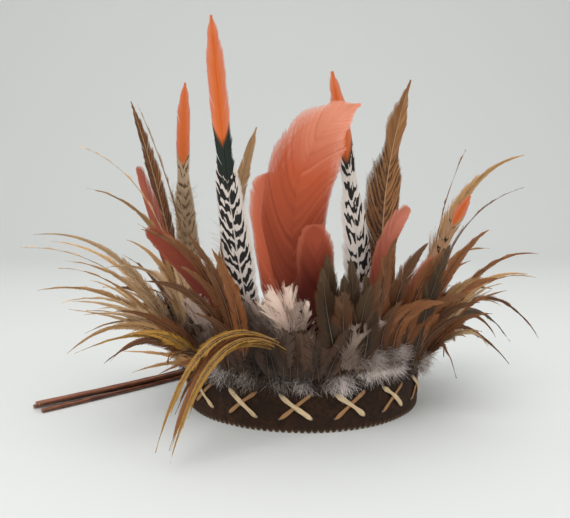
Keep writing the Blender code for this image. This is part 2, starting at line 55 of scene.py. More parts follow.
Colour = tuple[float, float, float]
Shares = tuple[float, float, float]

LOG = logging.getLogger("headdress")
BODY = "root"
BAKE_MAP = "OFBake"
CENTIMETRE = 0.01
UP = np.array((0.0, 0.0, 1.0))

# What a strand is, which a finish reads as the third part of strand
BARB = 0.0
LOOSE = 1.0
SHAFT = 2.0

# Driving sizes, as on the solids
RING_RADIUS = 0.0900
BAND_WALL = 0.0025
BAND_HEIGHT = 0.0500
CLEARANCE = 0.0003
PAD_BOTTOM = 0.0340
PAD_HEIGHT = 0.0080
PAD_DEPTH = 0.0070
PLUME_LENGTH = 0.2000
LAYER_PITCH = 0.0016
QUILL_THICKNESS = 0.0012
TWIST_SPREAD = 0.24


def quill_radius(layer: int) -> float:
    """Returns how far from the ring's middle a layer of quills stands."""
    return RING_RADIUS + CLEARANCE + QUILL_THICKNESS / 2.0 + (layer - 1) * LAYER_PITCH


def unit(vectors: Array) -> Array:
    """Returns the vectors at a length of 1."""
    return vectors / np.maximum(np.linalg.norm(vectors, axis=-1, keepdims=True), 1e-9)


def ease(share: Any) -> Array:
    """Returns a smooth step from 0 to 1."""
    share = np.clip(share, 0.0, 1.0)
    return share * share * (3.0 - 2.0 * share)


def packed(*parts: Any) -> Array:
    """Returns vectors made of parts that are first stretched to one shape."""
    return np.stack(np.broadcast_arrays(*parts), axis=-1)


def toned(colour: Colour, tone: float) -> Colour:
    """Returns a colour made lighter or darker by a factor."""
    return tuple(tone * share for share in colour)


def travelled(line: Array) -> Array:
    """Returns how far along a line of points each point is."""
    return np.hstack((0.0, np.cumsum(np.linalg.norm(np.diff(line, axis=0), axis=1))))


def drift(shares: Array, knots: int, rng: np.random.Generator) -> Array:
    """Returns a value that wanders smoothly along sorted shares.

    Args:
        shares: Where it is read.
        knots: How many free values it passes through.
        rng: The source of chance.

    Returns:
        One value for each share, about -2 to 2.
    """
    return np.interp(shares, np.linspace(shares.min(), shares.max(), knots), rng.normal(size=knots))


def stand(name: str, data: Any) -> bpy.types.Object:
    """Puts an object that holds a mesh, a light or a camera into the scene.

    Args:
        name: Its name.
        data: What it holds.

    Returns:
        The object.
    """
    item = bpy.data.objects.new(name, data)
    bpy.context.collection.objects.link(item)
    return item


class Wire:
    """A socket of a finish's nodes that takes part in Python expressions."""

    def __init__(self, surface: "Surface", socket: bpy.types.NodeSocket) -> None:
        """Wraps one output socket."""
        self.surface = surface
        self.socket = socket

    def math(self, operation: str, other: "Wire | float" = 0.0, swapped: bool = False) -> "Wire":
        """Adds one Math node.

        Args:
            operation: The node's operation.
            other: The second value.
            swapped: Whether the second value comes first.

        Returns:
            The node's result.
        """
        first, second = (other, self) if swapped else (self, other)
        return self.surface.node("ShaderNodeMath", {"operation": operation}, {0: first, 1: second})

    def __add__(self, other: "Wire | float") -> "Wire":
        """Returns self + other."""
        return self.math("ADD", other)

    def __radd__(self, other: float) -> "Wire":
        """Returns other + self."""
        return self.math("ADD", other, True)

    def __sub__(self, other: "Wire | float") -> "Wire":
        """Returns self - other."""
        return self.math("SUBTRACT", other)

    def __rsub__(self, other: float) -> "Wire":
        """Returns other - self."""
        return self.math("SUBTRACT", other, True)

    def __mul__(self, other: "Wire | float") -> "Wire":
        """Returns self * other."""
        return self.math("MULTIPLY", other)

    def __rmul__(self, other: float) -> "Wire":
        """Returns other * self."""
        return self.math("MULTIPLY", other, True)

    def sine(self) -> "Wire":
        """Returns the sine of self."""
        return self.math("SINE")

    def rise(self, low: float, high: float) -> "Wire":
        """Returns a smooth step, 0 up to low and 1 from high."""
        return self.surface.node("ShaderNodeMapRange", {"interpolation_type": "SMOOTHSTEP"},
                                 {"Value": self, "From Min": low, "From Max": high})

    def over(self, level: float) -> "Wire":
        """Returns a short step from 0 to 1 about a level."""
        return self.rise(level - 0.1, level + 0.1)


class Surface:
    """A material whose nodes are added one by one."""

    def __init__(self, name: str) -> None:
        """Starts a material with its Principled BSDF.

        Args:
            name: The material's name.
        """
        self.material = bpy.data.materials.new(name)
        self.material.use_nodes = True
        self.tree = self.material.node_tree
        self.shader = self.tree.nodes["Principled BSDF"]

    def node(self, kind: str, settings: dict[str, Any], inputs: dict[Any, Any], output: Any = 0) -> Wire:
        """Adds a node.

        Args:
            kind: The node's type.
            settings: Its settings, with a ramp's colours under "stops".
            inputs: Values or wires for its sockets.
            output: The socket that is returned.

        Returns:
            The output socket, wrapped.
        """
        made = self.tree.nodes.new(kind)
        for key, value in settings.items():
            if key == "stops":
                self.set_stops(made.color_ramp, value)
            else:
                setattr(made, key, value)
        for key, value in inputs.items():
            if isinstance(value, Wire):
                self.tree.links.new(value.socket, made.inputs[key])
            else:
                made.inputs[key].default_value = value
        return Wire(self, made.outputs[output])

    @staticmethod
    def set_stops(ramp: bpy.types.ColorRamp, stops: tuple[tuple[float, Colour], ...]) -> None:
        """Gives a ramp its stops.

        Args:
            ramp: The ramp.
            stops: Positions and colours, from low to high.
        """
        while len(ramp.elements) < len(stops):
            ramp.elements.new(1.0)
        for element, (position, colour) in zip(ramp.elements, stops):
            element.position = position
            element.color = (*colour, 1.0)

    def fact(self, name: str, axis: str) -> Wire:
        """Returns one axis of an attribute of the mesh."""
        vector = self.node("ShaderNodeAttribute", {"attribute_name": name}, {}, "Vector")
        return self.node("ShaderNodeSeparateXYZ", {}, {0: vector}, axis)

    def read(self, **axes: str) -> list[Wire]:
        """Returns axes of the mesh's attributes, in the order of the letters under each name."""
        return [self.fact(name, axis) for name, letters in axes.items() for axis in letters]

    def dye(self, name: str) -> Wire:
        """Returns the colour that the mesh holds under a name."""
        return self.node("ShaderNodeAttribute", {"attribute_name": name}, {}, "Color")

    def spot(self, x: Any, y: Any, z: Any) -> Wire:
        """Returns a vector of three values."""
        return self.node("ShaderNodeCombineXYZ", {}, {0: x, 1: y, 2: z})

    def noise(self, spot: Wire, scale: float, detail: float = 2.0, distortion: float = 0.0) -> Wire:
        """Returns a noise of about 0 to 1."""
        return self.node("ShaderNodeTexNoise", {"noise_dimensions": "3D"},
                         {"Vector": spot, "Scale": scale, "Detail": detail, "Distortion": distortion}, "Fac")

    def mix(self, share: Any, low: Any, high: Any) -> Wire:
        """Returns a colour between two.

        Args:
            share: 0 for low, 1 for high.
            low: A colour or a wire.
            high: A colour or a wire.

        Returns:
            The mixed colour.
        """
        low = low if isinstance(low, Wire) else (*low, 1.0)
        high = high if isinstance(high, Wire) else (*high, 1.0)
        return self.node("ShaderNodeMix", {"data_type": "RGBA"}, {0: share, 6: low, 7: high}, 2)

    def ramp(self, value: Wire, stops: tuple[tuple[float, Colour], ...]) -> Wire:
        """Returns a colour that follows a value through stops."""
        return self.node("ShaderNodeValToRGB", {"stops": stops}, {0: value}, "Color")

    def lit(self, colour: Wire, factor: float) -> Wire:
        """Returns a colour made brighter by a factor."""
        return self.node("ShaderNodeVectorMath", {"operation": "SCALE"}, {0: colour, "Scale": factor})

    def bump(self, height: Wire, distance: float, strength: float = 1.0) -> Wire:
        """Returns a normal that follows a height in metres of the given distance."""
        return self.node("ShaderNodeBump", {}, {"Height": height, "Distance": distance, "Strength": strength})

    def wear(self, sockets: dict[str, Any]) -> bpy.types.Material:
        """Sets the shader's sockets.

        Args:
            sockets: Values or wires, by the sockets' names.

        Returns:
            The material.
        """
        for key, value in sockets.items():
            if isinstance(value, Wire):
                self.tree.links.new(value.socket, self.shader.inputs[key])
            else:
                self.shader.inputs[key].default_value = value
        return self.material


@dataclass(frozen=True)
class CoralFinish:
    """Dyed coral feather: deep at the foot, partly dye and partly painted shade, pale towards its edges and
    top, with a painted highlight along the rim, streaked along the barbs.
    """

    # The foot colour is partly the dye and partly painted shade at the base
    foot: Colour = (0.110, 0.013, 0.004)
    middle: Colour = (0.450, 0.080, 0.028)
    top: Colour = (0.760, 0.285, 0.180)
    fluff: Colour = (0.860, 0.740, 0.660)
    # rim: a painted highlight along the edges of the vane
    rim: Colour = (0.800, 0.350, 0.240)
    streak: float = 0.12

    def dress(self, name: str) -> bpy.types.Material:
        """Makes the finish's material.

        Args:
            name: The material's name.

        Returns:
            The material.
        """
        surface = Surface(name)
        along, out, chance, clump, kind = surface.read(share="XY", strand="XYZ")
        level = along + out * 0.16 + clump * 0.02 - 0.05
        # Darker towards the foot: partly the dye, partly painted shade
        body = surface.ramp(level, ((0.12, self.foot), (0.52, self.middle), (0.88, self.top)))
        pale = surface.mix(out.rise(0.50, 1.0) * along.rise(0.2, 0.9) * 0.45, body, self.top)
        # Painted highlight along the rim, reaching down the lower edges
        rim_highlighted = surface.mix(out.rise(0.70, 1.0) * along.rise(0.20, 0.80) * 0.55, pale, self.rim)
        lines = (chance - 0.5) * self.streak + clump * 0.5 * self.streak
        shade = surface.mix((lines * -1.0).rise(0.0, 0.5) * 0.50, rim_highlighted, self.foot)
        light = surface.mix(lines.rise(0.0, 0.5) * 0.50, shade, self.top)
        downy = surface.mix(kind.over(0.5) * (1.0 - kind.over(1.5)), light, self.fluff)
        rough = 0.66 - along * 0.12
        return surface.wear({"Base Color": downy, "Roughness": rough, "Specular IOR Level": 0.22})


@dataclass(frozen=True)
class BarredFinish:
    """White feather with wavy black bars that slant with its barbs, a dark collar and a dyed tip."""

    white: Colour = (0.640, 0.570, 0.520)
    black: Colour = (0.012, 0.010, 0.009)
    collar: Colour = (0.012, 0.020, 0.014)
    tip: Colour = (0.610, 0.125, 0.020)
    rim: Colour = (0.600, 0.200, 0.120)
    down: Colour = (0.430, 0.350, 0.300)
    bars_per_cm: float = 1.25
    blackness: float = 0.65
    collar_from: float = 0.62
    tip_from: float = 0.70
    plain_side: float = 0.0

    def dress(self, name: str) -> bpy.types.Material:
        """Makes the finish's material.

        Args:
            name: The material's name.

        Returns:
            The material.
        """
        surface = Surface(name)
        along_cm, across_cm, bird = surface.read(place="XYZ")
        along, out, side, chance, clump, kind = surface.read(share="XYZ", strand="XYZ")
        spot = surface.spot(along_cm * 0.8, across_cm * 2.2, bird * 3.7)
        wander = surface.noise(spot, 1.3, 2.0) - 0.5
        second_spot = surface.spot(along_cm * 1.3, across_cm * 2.6, bird * 5.1 + 4.0)
        blotch = surface.noise(second_spot, 1.2, 1.5, 0.4) - 0.5
        wave = ((along_cm * self.bars_per_cm + wander * 1.9 + out * 0.20) * (2.0 * math.pi)).sine()
        dark_collar = along.rise(self.collar_from - 0.05, self.collar_from + 0.03)
        margin = (side * self.plain_side).rise(0.0, 1.0) * (1.0 - dark_collar) * out.rise(0.62, 0.92) * 1.6
        pale_edge = out.rise(0.70, 1.0) * 0.60 + margin
        level = wave * 0.75 + blotch * 2.4 + dark_collar * 1.8 - pale_edge + (chance - 0.5) * 0.10
        ink = (level + (self.blackness - 0.5) * 2.0).rise(-0.05, 0.12)
        black = surface.mix(dark_collar, self.black, self.collar)
        grey = chance.rise(0.3, 1.0) * 0.35 + (1.0 - along.rise(0.05, 0.3)) * 0.5
        white = surface.mix(grey, self.white, self.down)
        barred = surface.mix(ink, white, black)
        dyed = surface.mix(out.rise(0.15, 0.9) * 0.8 + clump * 0.06, self.tip, self.rim)
        at_tip = (along + clump * 0.006).rise(self.tip_from - 0.015, self.tip_from + 0.012)
        body = surface.mix(at_tip, barred, dyed)
        shaft = surface.mix(kind.over(1.5) * (1.0 - along.rise(0.5, 0.6)) * 0.85, body, self.white)
        downy = surface.mix(kind.over(0.5) * (1.0 - kind.over(1.5)), shaft, self.down)
        return surface.wear({"Base Color": downy, "Roughness": 0.58 + out * 0.12, "Specular IOR Level": 0.25})


@dataclass(frozen=True)
class PheasantFinish:
    """Golden brown feather with dark lines along its barbs, darker on one side, plain at its tip, and painted
    glints on some barbs.
    """

    gold: Colour = (0.360, 0.175, 0.070)
    # pale: the colour of the painted glints
    pale: Colour = (0.500, 0.290, 0.140)
    brown: Colour = (0.092, 0.034, 0.013)
    dark: Colour = (0.045, 0.018, 0.009)
    shaft: Colour = (0.420, 0.270, 0.150)
    lines_per_cm: float = 2.1
    plain_from: float = 0.66

    def dress(self, name: str) -> bpy.types.Material:
        """Makes the finish's material.

        Args:
            name: The material's name.

        Returns:
            The material.
        """
        surface = Surface(name)
        along_cm, across_cm, bird = surface.read(place="XYZ")
        along, out, side, chance, clump, kind = surface.read(share="XYZ", strand="XYZ")
        spot = surface.spot(along_cm * 1.4, across_cm * 1.2, bird * 3.1)
        wander = surface.noise(spot, 1.5, 3.0) - 0.5
        wave = ((along_cm * self.lines_per_cm + wander * 1.8 - out * 0.30) * (2.0 * math.pi)).sine()
        plain = along.rise(self.plain_from, self.plain_from + 0.12)
        dark_side = (0.5 - side * 0.5) * (1.0 - plain * 0.6)
        drawn = (wave * 0.6 + wander * 1.6 + (chance - 0.5) * 0.5 - 0.05).rise(-0.05, 0.30)
        lines = drawn * (1.0 - plain * 0.85)
        ground = surface.mix(dark_side * 0.62, self.gold, self.brown)
        # Painted highlight: glints on some barbs and towards their outer ends
        painted_glint = (chance * 0.6 + clump * 0.25 + out * 0.3).rise(0.45, 1.1)
        bright = surface.mix(painted_glint * 0.7, ground, self.pale)
        marked = surface.mix(lines, bright, surface.mix(dark_side, self.brown, self.dark))
        shaft = surface.mix(kind.over(1.5), marked, self.shaft)
        return surface.wear({"Base Color": shaft, "Roughness": 0.55 + out * 0.15, "Specular IOR Level": 0.16})


@dataclass(frozen=True)
class HackleFinish:
    """Hackles and body feathers: a dark stripe between dyed edges, painted glints on some barbs, downy and
    grey at the foot.
    """

    fluff: Colour = (0.058, 0.031, 0.019)
    # pale: the colour mixed into the painted glints, and a little into the shaft
    pale: Colour = (0.560, 0.400, 0.230)
    stripe_reach: float = 0.31
    gloss: float = 0.48

    def dress(self, name: str) -> bpy.types.Material:
        """Makes the finish's material.

        Args:
            name: The material's name.

        Returns:
            The material.
        """
        surface = Surface(name)
        along, out, chance, clump, kind = surface.read(share="XY", strand="XYZ")
        stripe_dye = surface.dye("stripe_dye")
        edge_dye = surface.dye("edge_dye")
        reach = out + (chance - 0.5) * 0.34 + clump * 0.08 + along * 0.28
        stripe = 1.0 - reach.rise(self.stripe_reach - 0.16, self.stripe_reach + 0.14)
        body = surface.mix(stripe, edge_dye, stripe_dye)
        dull = surface.mix((chance * 0.7 + clump * 0.2).rise(0.35, 0.9) * 0.35, body, stripe_dye)
        # Painted highlights: glints on some barbs, strongest towards their outer ends
        painted_glints = (clump * 0.5 + out * 0.6 - chance * 0.3).rise(0.35, 1.3) * 0.45 + out.rise(0.55, 1.0) * 0.12
        glint_colour = surface.mix(0.18, surface.lit(edge_dye, 1.35), self.pale)
        bright = surface.mix(painted_glints * along.rise(0.10, 0.70), dull, glint_colour)
        # Lighter towards the tip, mixed towards the colour of the glints
        tips = surface.mix(along.rise(0.55, 1.0) * 0.32, bright, glint_colour)
        foot = surface.mix((1.0 - along.rise(0.04, 0.30)) * 0.55, tips, self.fluff)
        fluff = surface.mix(chance.rise(0.1, 1.0) * 0.6, edge_dye, stripe_dye)
        loose = surface.mix(kind.over(0.5), foot, fluff)
        shaft = surface.mix(kind.over(1.5), loose, surface.mix(0.25, edge_dye, self.pale))
        rough = self.gloss + out * 0.2
        return surface.wear({"Base Color": shaft, "Roughness": rough, "Specular IOR Level": 0.2})


@dataclass(frozen=True)
class SuedeFinish:
    """Dark brown suede: a mottled nap, scuffs, and a paler raw edge along the pinked cut, partly the
    leather's own colour and partly painted light.
    """

    nap: Colour = (0.0215, 0.0088, 0.0040)
    rubbed: Colour = (0.0450, 0.0190, 0.0080)
    shadow: Colour = (0.013, 0.006, 0.0035)
    # raw: the pale cut edge, made lighter than the leather's own edge so that it shows in the shade by the
    # floor, so partly painted light
    raw: Colour = (0.340, 0.230, 0.140)

    def dress(self, name: str) -> bpy.types.Material:
        """Makes the finish's material.

        Args:
            name: The material's name.

        Returns:
            The material.
        """
        surface = Surface(name)
        along_cm, up_cm, depth_cm, edge = surface.read(place="XYZ", share="X")
        spot = surface.spot(along_cm, up_cm, depth_cm)
        broad = surface.noise(spot, 0.55, 3.0, 0.4)
        mottle = surface.noise(spot, 3.2, 4.0, 0.3)
        fibre = surface.noise(surface.spot(along_cm * 1.0, up_cm * 0.55, depth_cm), 42.0, 3.0, 1.2)
        worn = surface.mix((broad * 0.6 + mottle * 0.5).rise(0.46, 0.78), self.nap, self.rubbed)
        dim = surface.mix((1.0 - mottle).rise(0.50, 0.70) * 0.7, worn, self.shadow)
        specks = surface.mix(fibre.rise(0.56, 0.74) * 0.15, dim, self.raw)
        # The raw edge along the pinked cut: partly the leather's colour, partly painted light
        cut = surface.mix(edge * (0.45 + fibre * 0.75), specks, self.raw)
        height = fibre * 0.7 + mottle * 0.9
        return surface.wear({"Base Color": cut, "Roughness": 0.80 + fibre * 0.18, "Specular IOR Level": 0.25,
                             "Sheen Weight": 0.02, "Sheen Roughness": 0.5,
                             "Sheen Tint": (0.62, 0.48, 0.36, 1.0), "Normal": surface.bump(height, 0.0004)})


@dataclass(frozen=True)
class RawhideFinish:
    """Rawhide strap: cream or tan, with long fibres, darker towards its ends, and painted shade for the dark
    punched holes.
    """

    cream: Colour = (0.690, 0.520, 0.310)
    tan: Colour = (0.370, 0.190, 0.075)
    stain: Colour = (0.210, 0.110, 0.050)
    # hole_shade: painted shade in the mouths of the punched holes
    hole_shade: Colour = (0.008, 0.006, 0.005)

    def dress(self, name: str) -> bpy.types.Material:
        """Makes the finish's material.

        Args:
            name: The material's name.

        Returns:
            The material.
        """
        surface = Surface(name)
        along_cm, across_cm, piece, end, tan, hole_shade = surface.read(place="XYZ", share="XY", strand="Z")
        fibres = surface.noise(surface.spot(along_cm * 1.2, across_cm * 16.0, piece), 1.6, 3.0, 0.3)
        cloud = surface.noise(surface.spot(along_cm, across_cm, piece), 2.2, 2.0)
        strap = surface.mix(tan, self.cream, self.tan)
        lined = surface.mix(fibres.rise(0.42, 0.75) * 0.55, strap, self.stain)
        # Darker towards the strap's ends, where it sinks into the band
        darker_ends = surface.mix((end * 0.8 + cloud * 0.5 - 0.2).rise(0.35, 1.0) * 0.7, lined, self.stain)
        # Painted shade on the discs in the holes' mouths
        colour = surface.mix(hole_shade, darker_ends, self.hole_shade)
        return surface.wear({"Base Color": colour, "Roughness": 0.50 + fibres * 0.25,
                             "Specular IOR Level": 0.4,
                             "Normal": surface.bump(fibres + cloud * 0.4, 0.00025)})


@dataclass(frozen=True)
class LaceFinish:
    """Copper-brown leather lace: waxed grain on top, dark sides that are partly the cut leather's colour and
    partly painted shade, and a raw cut tip.
    """

    grain: Colour = (0.150, 0.042, 0.017)
    bright: Colour = (0.430, 0.150, 0.060)
    # split_and_shade: the sides' colour, partly the cut leather and partly painted shade
    split_and_shade: Colour = (0.026, 0.009, 0.006)
    raw: Colour = (0.300, 0.150, 0.080)

    def dress(self, name: str) -> bpy.types.Material:
        """Makes the finish's material.

        Args:
            name: The material's name.

        Returns:
            The material.
        """
        surface = Surface(name)
        along_cm, across_cm, piece, cut, shaded_flank = surface.read(place="XYZ", share="XY")
        streaks = surface.noise(surface.spot(along_cm * 0.7, across_cm * 14.0, piece), 1.4, 3.0, 0.3)
        patches = surface.noise(surface.spot(along_cm, across_cm, piece), 0.9, 3.0)
        creases = surface.noise(surface.spot(along_cm * 9.0, across_cm * 3.0, piece), 1.5, 2.0)
        body = surface.mix((streaks * 0.7 + patches * 0.4).rise(0.42, 0.75), self.grain, self.bright)
        # Sides darker: partly the cut leather, partly painted shade
        sides = surface.mix(shaded_flank * 0.75, body, self.split_and_shade)
        tips = surface.mix(cut, sides, self.raw)
        height = streaks * 0.5 + creases * 0.5
        return surface.wear({"Base Color": tips, "Roughness": 0.34 + streaks * 0.28,
                             "Specular IOR Level": 0.5, "Normal": surface.bump(height, 0.0002)})


@dataclass(frozen=True)
class Ring:
    """The circle of the band, which every piece stands on."""

    centre: tuple[float, float]

    @classmethod
    def from_frame(cls) -> "Ring":
        """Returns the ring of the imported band."""
        low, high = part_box("band")
        return cls(((low[0] + high[0]) / 2.0, (low[1] + high[1]) / 2.0))

    def axes(self, place: Any) -> tuple[Array, Array]:
        """Works out directions on the ring.

        Args:
            place: One place or many.

        Returns:
            The outward and the sideways direction at each.
        """
        angle = np.radians(np.asarray(place, dtype=float))
        sine, cosine, flat = np.sin(angle), np.cos(angle), np.zeros_like(angle)
        return np.stack((sine, -cosine, flat), axis=-1), np.stack((cosine, sine, flat), axis=-1)

    def point(self, place: Any, radius: Any, height: Any) -> Array:
        """Works out points on the ring.

        Args:
            place: One place or many.
            radius: How far they are from the ring's middle.
            height: How high they are.

        Returns:
            The points.
        """
        outward = self.axes(place)[0]
        radius = np.asarray(radius, dtype=float)
        height = np.asarray(height, dtype=float)
        spots = outward * radius[..., None] + height[..., None] * UP
        return spots + np.array((self.centre[0], self.centre[1], 0.0))

    def offset(self, place: float, shares: Shares) -> Array:
        """Turns shares of a plume's length into a vector.

        Args:
            place: The place that it starts from.
            shares: How far it goes out, sideways and up.

        Returns:
            The vector.
        """
        outward, sideways = self.axes(place)
        out, side, rise = shares
        return PLUME_LENGTH * (outward * out + sideways * side + UP * rise)

    def set_down(self, points: tuple[Shares, ...]) -> Array:
        """Returns points about the ring's centre in the frame."""
        return np.array(points) + np.array((self.centre[0], self.centre[1], 0.0))


class Outline(Enum):
    """Half-width of a feather, as a share of the widest half, at shares of the way along it."""

    BARRED = ((0.0, 0.12), (0.1, 0.3), (0.24, 0.86), (0.42, 1.0), (0.58, 0.84), (0.69, 0.52), (0.78, 0.6),
              (0.9, 0.58), (0.96, 0.38), (1.0, 0.1))
    CORAL = ((0.0, 0.06), (0.1, 0.18), (0.22, 0.58), (0.4, 0.92), (0.6, 1.0), (0.82, 0.98), (0.94, 0.84),
             (1.0, 0.62))
    CURLED = ((0.0, 0.06), (0.1, 0.2), (0.22, 0.6), (0.4, 0.9), (0.62, 0.94), (0.76, 0.8), (0.88, 0.44),
              (1.0, 0.05))
    FOLDED = ((0.0, 0.08), (0.14, 0.34), (0.3, 0.88), (0.48, 1.04), (0.65, 0.98), (0.76, 0.44), (0.85, 0.54),
              (1.0, 0.06))
    PHEASANT = ((0.0, 0.1), (0.14, 0.28), (0.34, 0.8), (0.52, 1.0), (0.7, 0.92), (0.88, 0.56), (1.0, 0.08))
    HACKLE = ((0.0, 0.3), (0.1, 0.8), (0.24, 1.0), (0.4, 0.84), (0.56, 0.5), (0.72, 0.28), (0.87, 0.15),
              (1.0, 0.03))
    LANCE = ((0.0, 0.3), (0.14, 0.78), (0.36, 1.0), (0.6, 0.9), (0.8, 0.56), (0.92, 0.26), (1.0, 0.03))
    SICKLE = ((0.0, 0.1), (0.24, 0.3), (0.44, 0.84), (0.64, 1.0), (0.86, 0.5), (1.0, 0.03))
    BODY = ((0.0, 0.3), (0.18, 0.8), (0.45, 1.0), (0.72, 0.96), (0.9, 0.74), (1.0, 0.45))

    def half(self, along: Any) -> Array:
        """Reads the outline.

        Args:
            along: Shares of the way along.

        Returns:
            The half-widths there, as shares of the widest.
        """
        shares, halves = np.array(self.value).T
        along = np.asarray(along, dtype=float)
        step = np.clip(np.searchsorted(shares, along, side="right") - 1, 0, len(shares) - 2)
        part = ease((along - shares[step]) / (shares[step + 1] - shares[step]))
        return halves[step] + (halves[step + 1] - halves[step]) * part


@dataclass
class Blade:
    """The bow of a feather's shaft and the frame of its vane, read at any share of its length."""

    start: Array
    bend: Array
    tip: Array
    side: Array
    twist: float = 0.0
    twist_at: float = 0.2
    samples: int = 140
    reach: float = 1.12
    table: Array = field(init=False)
    length: float = field(init=False)

    def __post_init__(self) -> None:
        """Works out the points, sides and normals along the bow."""
        shares = np.linspace(0.0, self.reach, self.samples)
        part = shares[:, None]
        points = self.start + 2.0 * (1.0 - part) * part * self.bend + part ** 2 * self.tip
        headings = unit((1.0 - 2.0 * part) * self.bend + part * self.tip)
        sides = np.empty_like(points)
        side = np.array(self.side, dtype=float)
        for index, heading in enumerate(headings):
            side = side - heading * side.dot(heading)
            side = side / math.sqrt(side.dot(side))
            sides[index] = side
        turn = np.radians(self.twist) * ease((shares - self.twist_at) / TWIST_SPREAD + 0.5)[:, None]
        sides = sides * np.cos(turn) + np.cross(headings, sides) * np.sin(turn)
        self.table = np.hstack((points, sides, np.cross(headings, sides), headings))
        inside = points[shares <= 1.0]
        self.length = float(np.linalg.norm(np.diff(inside, axis=0), axis=1).sum())

    def rows(self, along: Array) -> Array:
        """Reads the blade.

        Args:
            along: Shares of its length.

        Returns:
            Point, side, normal and heading, 12 numbers, at each.
        """
        index = np.clip(along / self.reach, 0.0, 1.0) * (self.samples - 1.001)
        low = index.astype(int)
        part = (index - low)[..., None]
        return self.table[low] * (1.0 - part) + self.table[low + 1] * part

    def spots(self, along: Array, across: Array, lift: Array) -> Array:
        """Works out points on the vane.

        Args:
            along: Shares of the blade's length.
            across: How far they are to its side.
            lift: How far they are off it.

        Returns:
            The points.
        """
        row = self.rows(along)
        return row[..., 0:3] + row[..., 3:6] * across[..., None] + row[..., 6:9] * lift[..., None]


@dataclass(frozen=True)
class Tile:
    """The part of the bake's map that one feather takes, and what its strands hold."""

    low: float = 0.0
    high: float = 1.0
    bird: float = 0.0
    stripe_dye: Colour = (0.0, 0.0, 0.0)
    edge_dye: Colour = (0.0, 0.0, 0.0)

    def height(self, share: Any) -> Any:
        """Returns the map's height at a share of the tile."""
        return self.low + (self.high - self.low) * share

    def part(self, low: float, high: float) -> "Tile":
        """Returns the part of the tile between two shares of its height."""
        return replace(self, low=self.height(low), high=self.height(high))


class Plumage:
    """Gathers ribbons and tubes, with what their finish reads, into one mesh."""

    FACTS = ("place", "share", "strand", "stripe_dye", "edge_dye")

    def __init__(self, seed: int = 0) -> None:
        """Starts empty, with the piece's own source of chance.

        Args:
            seed: What that source starts from.
        """
        self.rng = np.random.default_rng(seed)
        self.points: list[Array] = []
        self.quads: list[Array] = []
        self.maps: list[Array] = []
        self.facts: dict[str, list[Array]] = {name: [] for name in self.FACTS}
        self.total = 0

    def add(self, grid: Array, spread: Array, tile: Tile, place: Array, share: Array, strand: Array,
            closed: bool = False) -> None:
        """Adds patches of quads.

        Args:
            grid: Points as (patch, row, column, 3).
            spread: Their places on the bake's map, as (patch, row, column, 2).
            tile: The feather's tile.
            place: What the finish reads as place, in a shape that fits the grid.
            share: What it reads as share.
            strand: What it reads as strand.
            closed: Whether the last column joins the first.
        """
        count = grid[..., 0].size
        numbers = self.total + np.arange(count).reshape(grid.shape[:-1])
        after = np.roll(numbers, -1, axis=2)
        if not closed:
            numbers, after = numbers[:, :, :-1], after[:, :, :-1]
        quads = np.stack((numbers[:, :-1], after[:, :-1], after[:, 1:], numbers[:, 1:]), axis=-1)
        self.points.append(grid.reshape(-1, 3))
        self.quads.append(quads.reshape(-1, 4))
        self.maps.append(np.broadcast_to(spread, (*grid.shape[:-1], 2)).reshape(-1, 2))
        values = (place, share, strand, np.array(tile.stripe_dye), np.array(tile.edge_dye))
        for name, value in zip(self.FACTS, values):
            self.facts[name].append(np.broadcast_to(value, grid.shape).reshape(-1, 3))
        self.total += count

    def make(self, name: str, material: bpy.types.Material,
             replaced: tuple[str, ...]) -> bpy.types.Object:
        """Makes the piece and hands it to the frame.

        Args:
            name: The piece's name.
            material: Its finish.
            replaced: The solids that it stands for.

        Returns:
            The piece.
        """
        points = np.concatenate(self.points).astype(np.float32)
        quads = np.concatenate(self.quads).astype(np.int32)
        maps = np.concatenate(self.maps).astype(np.float32)
        mesh = bpy.data.meshes.new(name)
        mesh.vertices.add(len(points))
        mesh.vertices.foreach_set("co", points.ravel())
        mesh.loops.add(quads.size)
        mesh.loops.foreach_set("vertex_index", quads.ravel())
        mesh.polygons.add(len(quads))
        mesh.polygons.foreach_set("loop_start", np.arange(0, quads.size, 4, dtype=np.int32))
        mesh.polygons.foreach_set("use_smooth", np.ones(len(quads), dtype=bool))
        mesh.update(calc_edges=True)
        for key, values in self.facts.items():
            layer = mesh.attributes.new(key, "FLOAT_VECTOR", "POINT")
            layer.data.foreach_set("vector", np.concatenate(values).astype(np.float32).ravel())
        mesh.uv_layers.new(name=BAKE_MAP).data.foreach_set("uv", maps[quads.ravel()].ravel())
        mesh.materials.append(material)
        piece = stand(name, mesh)
        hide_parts(*replaced)
        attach(piece, BODY)
        LOG.info("%s: %d triangles", name, 2 * len(quads))
        return piece


@dataclass(frozen=True)
class Sweep:
    """A rounded bar that follows a line of points."""

    sides: int = 8
    square: float = 1.0

    def turns(self) -> Array:
        """Returns the angles of the bar's sides."""
        return 2.0 * math.pi * np.arange(self.sides) / self.sides

    def lay(self, plumage: Plumage, centres: Array, across: Array, up: Array, wide: Array, thick: Array,
            tile: Tile, place: Array, share: Array, strand: Array) -> None:
        """Adds the bar.

        Args:
            plumage: Where it goes.
            centres: The line's points.
            across: The directions of its width.
            up: The directions of its thickness.
            wide: Its half-widths.
            thick: Its half-thicknesses.
            tile: Its tile of the bake's map.
            place: What the finish reads as place, as (row, side, 3).
            share: What it reads as share.
            strand: What it reads as strand.
        """
        turns = self.turns()
        flat, tall = (np.sign(way) * np.abs(way) ** self.square for way in (np.cos(turns), np.sin(turns)))
        grid = (centres[:, None] + across[:, None] * (wide[:, None] * flat)[..., None]
                + up[:, None] * (thick[:, None] * tall)[..., None])
        run = np.linspace(0.0, 1.0, len(centres))[:, None]
        spread = packed(run, tile.height(0.5 - 0.5 * np.cos(turns / 2.0))[None])
        plumage.add(grid[None], spread[None], tile, place, share, strand, closed=True)


